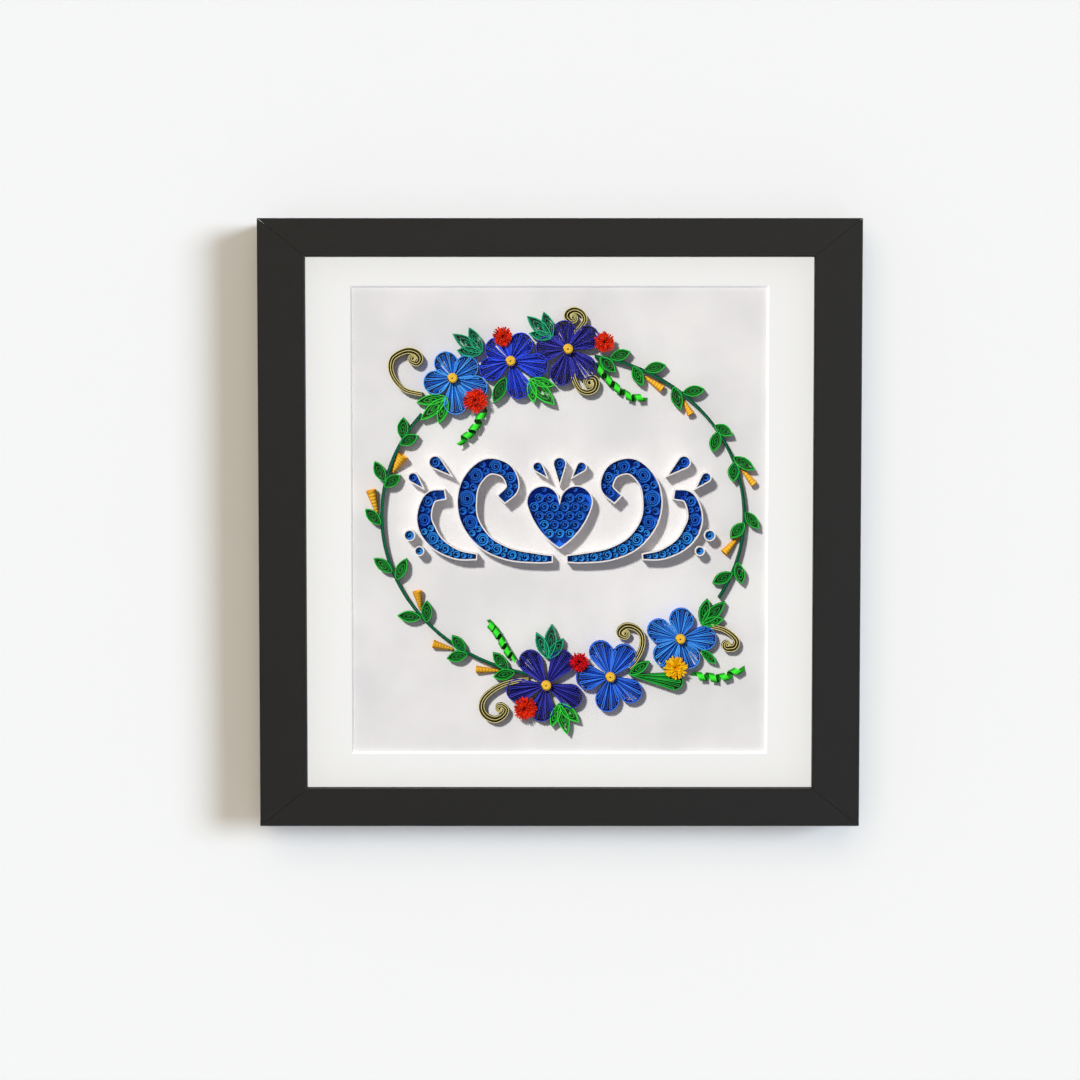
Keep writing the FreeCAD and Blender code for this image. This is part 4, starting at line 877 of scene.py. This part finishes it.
# The thickest strip in a small coil, and the smallest coil in the heart, as shares of a radius
SMALL_COIL_PAPER = 0.24
SMALLEST_COIL = 0.45
ROYAL_TONE = 0.45
SKY_TONE = 0.9
SKY_LEVEL = -3.0
HEART_HALF_WIDTH = 17.0
HEART_FOOT = -13.0
HEART_SHOULDER = 10.0
HEART_CROWN = 19.5
HEART_CLEFT = 12.0
HEART_FLANK_RISE = 11.0
HEART_FLANK_SHARE = 0.68
HEART_CROWN_SHARE = 0.54
HEART_MIDDLE = 4.0
HEART_PITCH = 5.2
HEART_ROWS = 6
HEART_COLUMNS = 4
# How far the heart's points move for each millimetre that its outline moves in
FOOT_SHIFT = 1.35
CLEFT_SHIFT = 1.2
FLANK_SHIFT = 0.6
NARROW_STROKE = 3.4
COIL_NESTING = 0.72
SINGLE_NESTING = 1.06
STROKE_END = 0.6
STROKE_STEPS = 24
VOLUTES = [
    (
        [(3.4, -18.0), (12.0, -17.6), (26.0, -15.5), (38.5, -9.0), (46.5, 3.5), (46.0, 19.0),
         (37.5, 28.8), (27.5, 27.0), (24.0, 18.5), (30.0, 12.0)],
        (4.0, 10.5, 6.0),
    ),
    (
        [(42.0, -17.0), (53.0, -15.5), (63.5, -9.0), (69.0, 2.0), (66.0, 13.0), (58.0, 15.0)],
        (3.5, 9.0, 5.5),
    ),
]
SIDE_DROPS = [
    ((54.0, 23.5), (66.0, 33.5), 7.0),
    ((68.5, 17.0), (76.5, 25.5), 5.6),
    ((5.5, 22.5), (13.0, 31.0), 5.6),
]
MIDDLE_DROP = ((0.0, 18.5), (0.0, 34.0), 7.0)
# A drop's coils: how far each lies behind the first, and its radius, in radii of the first
DROP_COILS = [(0.0, 1.0), (1.6, 0.5), (2.45, 0.22)]
DOTS = [((76.5, -6.0), 3.0), ((71.5, -14.0), 2.6)]


def arc_through(start, middle, end, count=14):
    """Points on the arc from start to end that passes through middle, without its end."""
    a, b, c = (complex(*spot) for spot in (start, middle, end))
    w = (c - a) / (b - a)
    centre = (b - a) * (w - abs(w) ** 2) / (2j * w.imag) + a
    first, last = a - centre, c - centre
    sweep = math.atan2((last / first).imag, (last / first).real)
    through = math.atan2(((b - centre) / first).imag, ((b - centre) / first).real)
    if sweep * through < 0:
        sweep -= math.copysign(2 * math.pi, sweep)
    turned = [
        centre + first * complex(math.cos(sweep * i / count), math.sin(sweep * i / count))
        for i in range(count)
    ]
    return [Vector((spot.real, spot.imag)) for spot in turned]


def heart_outline(inset=0.0):
    """The heart's outline, moved in from its wall."""
    half = HEART_HALF_WIDTH - inset
    foot = (0, HEART_FOOT + FOOT_SHIFT * inset)
    cleft = (0, HEART_CLEFT - CLEFT_SHIFT * inset)
    flank_level = HEART_FOOT + HEART_FLANK_RISE + FLANK_SHIFT * inset
    sides = []
    for side in (1, -1):
        shoulder = (side * half, HEART_SHOULDER)
        flank = (side * half * HEART_FLANK_SHARE, flank_level)
        crown = (side * half * HEART_CROWN_SHARE, HEART_CROWN - inset)
        sides.append((shoulder, flank, crown))
    right, left = sides
    return (
        arc_through(foot, right[1], right[0])
        + arc_through(right[0], right[2], cleft)
        + arc_through(cleft, left[2], left[0])
        + arc_through(left[0], left[1], foot)
    )


def add_coil(bm, centre, radius, tone_and_highlight):
    """A round coil of strip: the wider it is, the more turns it has."""
    turns = max(FEWEST_TURNS, COIL_TURNS_PER_MM * radius)
    paper = min(COIL_PAPER, SMALL_COIL_PAPER * radius)
    line = round_coil(centre, radius - paper / 2, turns, COIL_STEPS, COIL_EYE)
    add_strip(bm, line, 0, COIL_HEIGHT - chance.uniform(0, 0.3), tone_and_highlight, paper=paper)


def add_shade_bed(bm, outline):
    """A thin sheet of blue paper under the coils of one shape: painted shade that stands in for the
    blue shade between the coils.
    """
    tone_and_highlight_layer = bm.verts.layers.float.get("tone_and_highlight") or bm.verts.layers.float.new("tone_and_highlight")
    corners = [bm.verts.new(above(spot, BED)) for spot in outline]
    for corner in corners:
        corner[tone_and_highlight_layer] = BED_TONE
    rim = [bm.edges.new(pair) for pair in zip(corners, corners[1:] + corners[:1])]
    bmesh.ops.triangle_fill(bm, edges=rim, use_beauty=True)


def blue_tone(spot):
    """Coils are cut from two blues: the lighter one fills the lower parts."""
    tone_and_highlight = SKY_TONE if spot.y < SKY_LEVEL + chance.uniform(-4, 4) else ROYAL_TONE
    return tone_and_highlight + chance.uniform(-0.1, 0.1)


def add_coils_along(bm, points, widths):
    """Coils that fill a stroke: one across it, then a pair, and so on to its end."""
    line = smooth_line(points, STROKE_STEPS)
    lengths = [0.0]
    for start, end in zip(line, line[1:]):
        lengths.append(lengths[-1] + (end - start).length)
    inner = 2 * (WALL + COIL_GAP)
    travelled = widths[0]
    paired = False
    while travelled < lengths[-1] - widths[-1] * STROKE_END:
        index = next(i for i, length in enumerate(lengths) if length >= travelled)
        width = width_at(index / (len(line) - 1), widths) - inner
        across = leftward((line[index] - line[index - 1]).normalized())
        slim = width < NARROW_STROKE
        tone_and_highlight = blue_tone(line[index])
        if paired and not slim:
            for sign in (-1, 1):
                beside_line = line[index] + across * (sign * width / 4)
                add_coil(bm, beside_line, width / 4 - COIL_GAP / 2, tone_and_highlight)
        else:
            add_coil(bm, line[index], width / 2 - COIL_GAP / 2, tone_and_highlight)
        travelled += (SINGLE_NESTING if slim else COIL_NESTING) * width + COIL_GAP
        paired = not paired and not slim


def add_drop(walls, coils, base, tip, width):
    """A drop of wall strip with a large coil in its round end and smaller ones behind it."""
    direction = tip - base
    heading = math.degrees(math.atan2(direction.y, direction.x))
    outline = drop_outline(base, heading, direction.length, width, WRAP_STEPS)
    add_strip(walls, outline, 0, WALL_HEIGHT, 0.5, paper=WALL, closed=True)
    add_shade_bed(coils, outline)
    large = width / 2 - WALL - COIL_GAP
    along = direction.normalized()
    for behind, share in DROP_COILS:
        add_coil(coils, tip - along * (width / 2 + large * behind), large * share, blue_tone(base))


# Side colours painted as shade, edge colours as painted highlight
white_strip = quilling_paper("white_quilling_strip", "#E4DFDE", "#F4F2F0")
coil_blue = quilling_paper("blue_coil_quilling_paper", "#0A1CC8", "#309CFA")
walls = bmesh.new()
heart_coils = bmesh.new()
add_strip(walls, heart_outline(), 0, WALL_HEIGHT, 0.5, paper=WALL, closed=True)
add_shade_bed(heart_coils, heart_outline())
inside = heart_outline(WALL)
for row in range(-HEART_ROWS, HEART_ROWS + 1):
    for column in range(-HEART_COLUMNS, HEART_COLUMNS + 1):
        centre = Vector(
            (
                (column + (row % 2) / 2) * HEART_PITCH,
                HEART_MIDDLE + row * HEART_PITCH * math.sqrt(3) / 2,
            )
        )
        room = min((spot - centre).length for spot in inside) - COIL_GAP
        radius = (HEART_PITCH - COIL_GAP) / 2
        crossings = sum(
            (start.y > centre.y) != (end.y > centre.y)
            and centre.x < start.x + (end.x - start.x) * (centre.y - start.y) / (end.y - start.y)
            for start, end in zip(inside, inside[1:] + inside[:1])
        )
        if crossings % 2 and room > radius * SMALLEST_COIL:
            add_coil(heart_coils, centre, min(radius, room), blue_tone(centre))
add_drop(walls, heart_coils, Vector(MIDDLE_DROP[0]), Vector(MIDDLE_DROP[1]), MIDDLE_DROP[2])
new_piece("heart_coils_wound", heart_coils, coil_blue, "coil_blue_paper", "heart_coils")

for name, side in (("left", -1), ("right", 1)):
    coils = bmesh.new()
    for points, widths in VOLUTES:
        line = [Vector((side * x, z)) for x, z in points]
        add_coils_along(coils, line, widths)
        middle_line = smooth_line(line)
        outline = beside(middle_line, 0.5, widths) + beside(middle_line, -0.5, widths)[::-1]
        add_strip(walls, outline, 0, WALL_HEIGHT, 0.5, paper=WALL, closed=True)
        add_shade_bed(coils, outline)
    for base, tip, width in SIDE_DROPS:
        base, tip = (Vector((side * x, z)) for x, z in (base, tip))
        add_drop(walls, coils, base, tip, width)
    for middle, radius in DOTS:
        centre = Vector((side * middle[0], middle[1]))
        ring = [centre + toward(20 * index) * radius for index in range(18)]
        add_strip(walls, ring, 0, WALL_HEIGHT, 0.5, paper=WALL, closed=True)
        add_shade_bed(coils, ring)
        add_coil(coils, centre, radius - WALL - COIL_GAP, blue_tone(centre))
    volute = name + "_volute_coils"
    new_piece(volute + "_wound", coils, coil_blue, "coil_blue_paper", volute)
new_piece("ornament_walls_white", walls, white_strip, "white_strip", "ornament_walls")

# Mat board
# White board with a bevelled window. Its face is smooth and faintly grained, and the bevel
# shows the brighter white core with a painted glow on it.
MAT_FACE = "#F4F4F3"
MAT_CORE = "#FFFFFF"
# A painted glow keeps the narrow bevel brighter than the board
PAINTED_BEVEL_GLOW = 0.3


def mat_board():
    """Cotton board: matte, with a grain so fine that it only softens the light, and a painted glow
    on the bevel.
    """
    material, tree, surface = new_material("white_mat_board")
    on_face = facing(tree, -0.75, -0.95)
    bevel_glow_mask = reckoned(tree, "SUBTRACT", 1.0, on_face)
    finish = {
        "Base Color": blended(tree, on_face, MAT_CORE, MAT_FACE),
        "Roughness": 0.85,
        "Specular IOR Level": 0.3,
        "Normal": relief(tree, lumps(tree, 0.5, 3.0), 0.15, 0.05),
        # Painted light: the bevel glows white
        "Emission Color": linear(MAT_CORE),
        "Emission Strength": reckoned(tree, "MULTIPLY", bevel_glow_mask, PAINTED_BEVEL_GLOW),
    }
    coat(tree, surface, finish)
    return material


finish_cad(mat_board(), "mat_board")

# Spacers
# Strips of black foam board that keep the glazing off the paper work, hidden by the lip. The
# plain finish is made by a function that the backing and the fixings use too.


def speckled(name, base, fleck, size_mm, roughness, metallic=0.0):
    """A plain stock surface whose colour and shine vary a little over a few millimetres."""
    material, tree, surface = new_material(name)
    blotch = lumps(tree, size_mm, 5.0)
    finish = {
        "Base Color": blended(tree, blotch, base, fleck),
        "Roughness": stretched(tree, blotch, 0.0, 1.0, roughness - 0.08, roughness + 0.08),
        "Metallic": metallic,
        "Normal": relief(tree, blotch, 0.2, 0.05),
    }
    coat(tree, surface, finish)
    return material


black_foam_board = speckled("black_foam_board", "#151515", "#202020", 0.6, 0.85)
finish_cad(black_foam_board, "spacer_bottom", "spacer_top", "spacer_left", "spacer_right")

# Glazing
# One clear sheet of picture glass, held against the frame's lip by the spacers. It is clean,
# so it shows as a very faint sheen.


def clear_sheet():
    """Clean picture glass: all but invisible from the front, with a weak gloss."""
    material, tree, surface = new_material("picture_glass")
    tint = (0.02, 0.02, 0.02, 1.0)
    coat(tree, surface, {"Base Color": tint, "Roughness": 0.05, "IOR": 1.52, "Alpha": 0.02})
    return material


finish_cad(clear_sheet(), "glazing_sheet")

# Moulding
# Four lengths of flat wooden moulding, sprayed satin black and joined in mitres. Under the
# lacquer the grain still runs faintly along each length.
LACQUER = "#101011"
LACQUER_WORN = "#161617"
ORANGE_PEEL = 0.8


def satin_black(name, grain_scale):
    """Satin black lacquer over wood: a soft broad shine and a faint grain along the length."""
    material, tree, surface = new_material(name)
    place = node(tree, "TexCoord").outputs["Object"]
    along = node(tree, "Mapping", {"Vector": place, "Scale": grain_scale})
    noise = node(tree, "TexNoise", {"Vector": along.outputs["Vector"], "Scale": 1.0, "Detail": 6.0})
    grain = noise.outputs["Fac"]
    bumps = reckoned(tree, "ADD", grain, lumps(tree, ORANGE_PEEL, 2.0))
    finish = {
        "Base Color": blended(tree, grain, LACQUER, LACQUER_WORN),
        "Roughness": 0.5,
        "Specular IOR Level": 0.26,
        "Normal": relief(tree, bumps, 0.25, 0.04),
    }
    coat(tree, surface, finish)
    return material


GRAIN_ALONG = 1 / (40 * MM)
GRAIN_ACROSS = 1 / (0.9 * MM)
rail_black = satin_black("satin_black_rail", (GRAIN_ALONG, GRAIN_ACROSS, GRAIN_ACROSS))
stile_black = satin_black("satin_black_stile", (GRAIN_ACROSS, GRAIN_ACROSS, GRAIN_ALONG))
finish_cad(rail_black, "frame_top_rail", "frame_bottom_rail")
finish_cad(stile_black, "frame_left_stile", "frame_right_stile")

# Backing and fixings
# A plain fibre board closes the back. Zinc-plated steel points hold it, folded steel nails
# cross the mitres, and a sawtooth hanger is nailed into its recess.
fibre_board = speckled("fibre_board", "#7A5A3A", "#9C7850", 1.5, 0.8)
zinc_plate = speckled("zinc_plated_steel", "#B4B5B4", "#CDCDCA", 0.7, 0.55, metallic=0.75)
finish_cad(fibre_board, "backing_board")
finish_cad(zinc_plate, "backing_points", "corner_v_nails", "sawtooth_hanger", "hanger_nails")

# Wall and floor
# A pale sweep: a wall just behind the frame that curves into a floor well below it. The wall
# shows from its front only, and lets the light behind it through to the frame's back.
WALL_WHITE = "#F7F7F6"
WALL_Y = 0.0130
FLOOR_Z = -0.45
SWEEP = 0.20
SWEEP_STEPS = 12
STAGE_HALF_WIDTH = 2.2
STAGE_TOP = 2.5
STAGE_FRONT = -3.5
PLASTER = 14


def painted_sweep():
    """Matte white paint, with the soft unevenness of a plastered wall."""
    material, tree, surface = new_material("matte_wall_paint")
    uneven = relief(tree, lumps(tree, PLASTER, 4.0), 0.12, 0.4)
    paint = node(tree, "BsdfDiffuse", {"Color": linear(WALL_WHITE), "Normal": uneven})
    clear = node(tree, "BsdfTransparent")
    rays = node(tree, "LightPath").outputs
    seen = reckoned(tree, "MAXIMUM", rays["Is Camera Ray"], rays["Is Glossy Ray"])
    seen = reckoned(tree, "MAXIMUM", seen, rays["Is Transmission Ray"])
    behind = node(tree, "NewGeometry").outputs["Backfacing"]
    shown = reckoned(tree, "MULTIPLY", seen, reckoned(tree, "SUBTRACT", 1.0, behind))
    sides = {0: shown, 1: clear.outputs["BSDF"], 2: paint.outputs["BSDF"]}
    tree.links.new(node(tree, "MixShader", sides).outputs["Shader"], surface)
    return material


bm = bmesh.new()
profile = [(WALL_Y, STAGE_TOP), (WALL_Y, FLOOR_Z + SWEEP)]
for index in range(1, SWEEP_STEPS + 1):
    turn = math.pi / 2 * index / SWEEP_STEPS
    out = WALL_Y - SWEEP * (1 - math.cos(turn))
    profile.append((out, FLOOR_Z + SWEEP * (1 - math.sin(turn))))
profile.append((STAGE_FRONT, FLOOR_Z))
corners = [bm.verts.new(Vector((-STAGE_HALF_WIDTH, y, z))) for y, z in profile]
edges = [bm.edges.new(pair) for pair in zip(corners, corners[1:])]
grown = bmesh.ops.extrude_edge_only(bm, edges=edges)["geom"]
far_side = [part for part in grown if isinstance(part, bmesh.types.BMVert)]
bmesh.ops.translate(bm, verts=far_side, vec=(2 * STAGE_HALF_WIDTH, 0, 0))
for face in bm.faces:
    face.smooth = True
bm.normal_update()
wall_face = max(bm.faces, key=lambda face: face.calc_center_median().z)
if wall_face.normal.y > 0:
    bmesh.ops.reverse_faces(bm, faces=bm.faces)
sweep_mesh = bpy.data.meshes.new("wall_and_floor")
bm.to_mesh(sweep_mesh)
bm.free()
sweep_mesh.materials.append(painted_sweep())
sweep = bpy.data.objects.new("wall_and_floor", sweep_mesh)
bpy.context.scene.collection.objects.link(sweep)

# Light
# Soft daylight from the right and a warm fill light the frame and the wall. A smaller lamp from
# the upper left lights the mat and the paper work, whose shadows fall to the lower right.
ROOM_LIGHT = 0.28
room = bpy.data.worlds.new("studio")
room.use_nodes = True
background = room.node_tree.nodes["Background"].inputs
background["Color"].default_value = (0.90, 0.91, 1.0, 1.0)
background["Strength"].default_value = ROOM_LIGHT
bpy.context.scene.world = room


def distant_light(name, direction, spread, strength, tint=(1.0, 1.0, 1.0)):
    """An even light from far away, from a direction seen from the art's middle."""
    lamp = bpy.data.lights.new(name, "SUN")
    lamp.angle = math.radians(spread)
    lamp.energy = strength
    lamp.color = tint
    holder = bpy.data.objects.new(name, lamp)
    holder.rotation_euler = (-Vector(direction)).to_track_quat("-Z", "Y").to_euler()
    bpy.context.scene.collection.objects.link(holder)
    return holder


def only(name, pieces):
    """A set of pieces that a lamp is limited to."""
    group = bpy.data.collections.new(name)
    for piece in pieces:
        group.objects.link(piece)
    return group


window = distant_light("window_light", (1.7, -1.35, 0.35), 23, 2.8, (0.74, 0.845, 0.985))
fill = distant_light("warm_fill", (-0.3, -2.0, 0.9), 60, 1.15, (1.0, 0.84, 0.55))
lamp = distant_light("upper_left_lamp", (-1.45, -2.45, 1.75), 7, 3.4, (1.0, 0.99, 0.95))
distant_light("rear_light", (0.6, 1.8, 0.8), 50, 2.0)
boards = [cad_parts[name] for name in ("art_ground_sheet", "mat_board")]
others = [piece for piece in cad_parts.values() if piece not in boards]
lamp.light_linking.receiver_collection = only("lit_by_lamp", art_pieces + boards)
lamp.light_linking.blocker_collection = only("shading_the_art", art_pieces)
room_side = only("lit_by_daylight", others + [sweep])
window.light_linking.receiver_collection = room_side
fill.light_linking.receiver_collection = room_side

# Camera
# It stands a metre in front, a little above the middle, and looks slightly down.
camera_data = bpy.data.cameras.new("camera")
camera_data.lens = 65.85
camera_data.sensor_width = 36.0
camera = bpy.data.objects.new("camera", camera_data)
camera.location = (-0.0100, -1.0116, 0.1887)
camera.rotation_euler = (math.radians(87.549), 0, 0)
bpy.context.scene.collection.objects.link(camera)
bpy.context.scene.camera = camera
bpy.context.scene.view_settings.view_transform = "Standard"
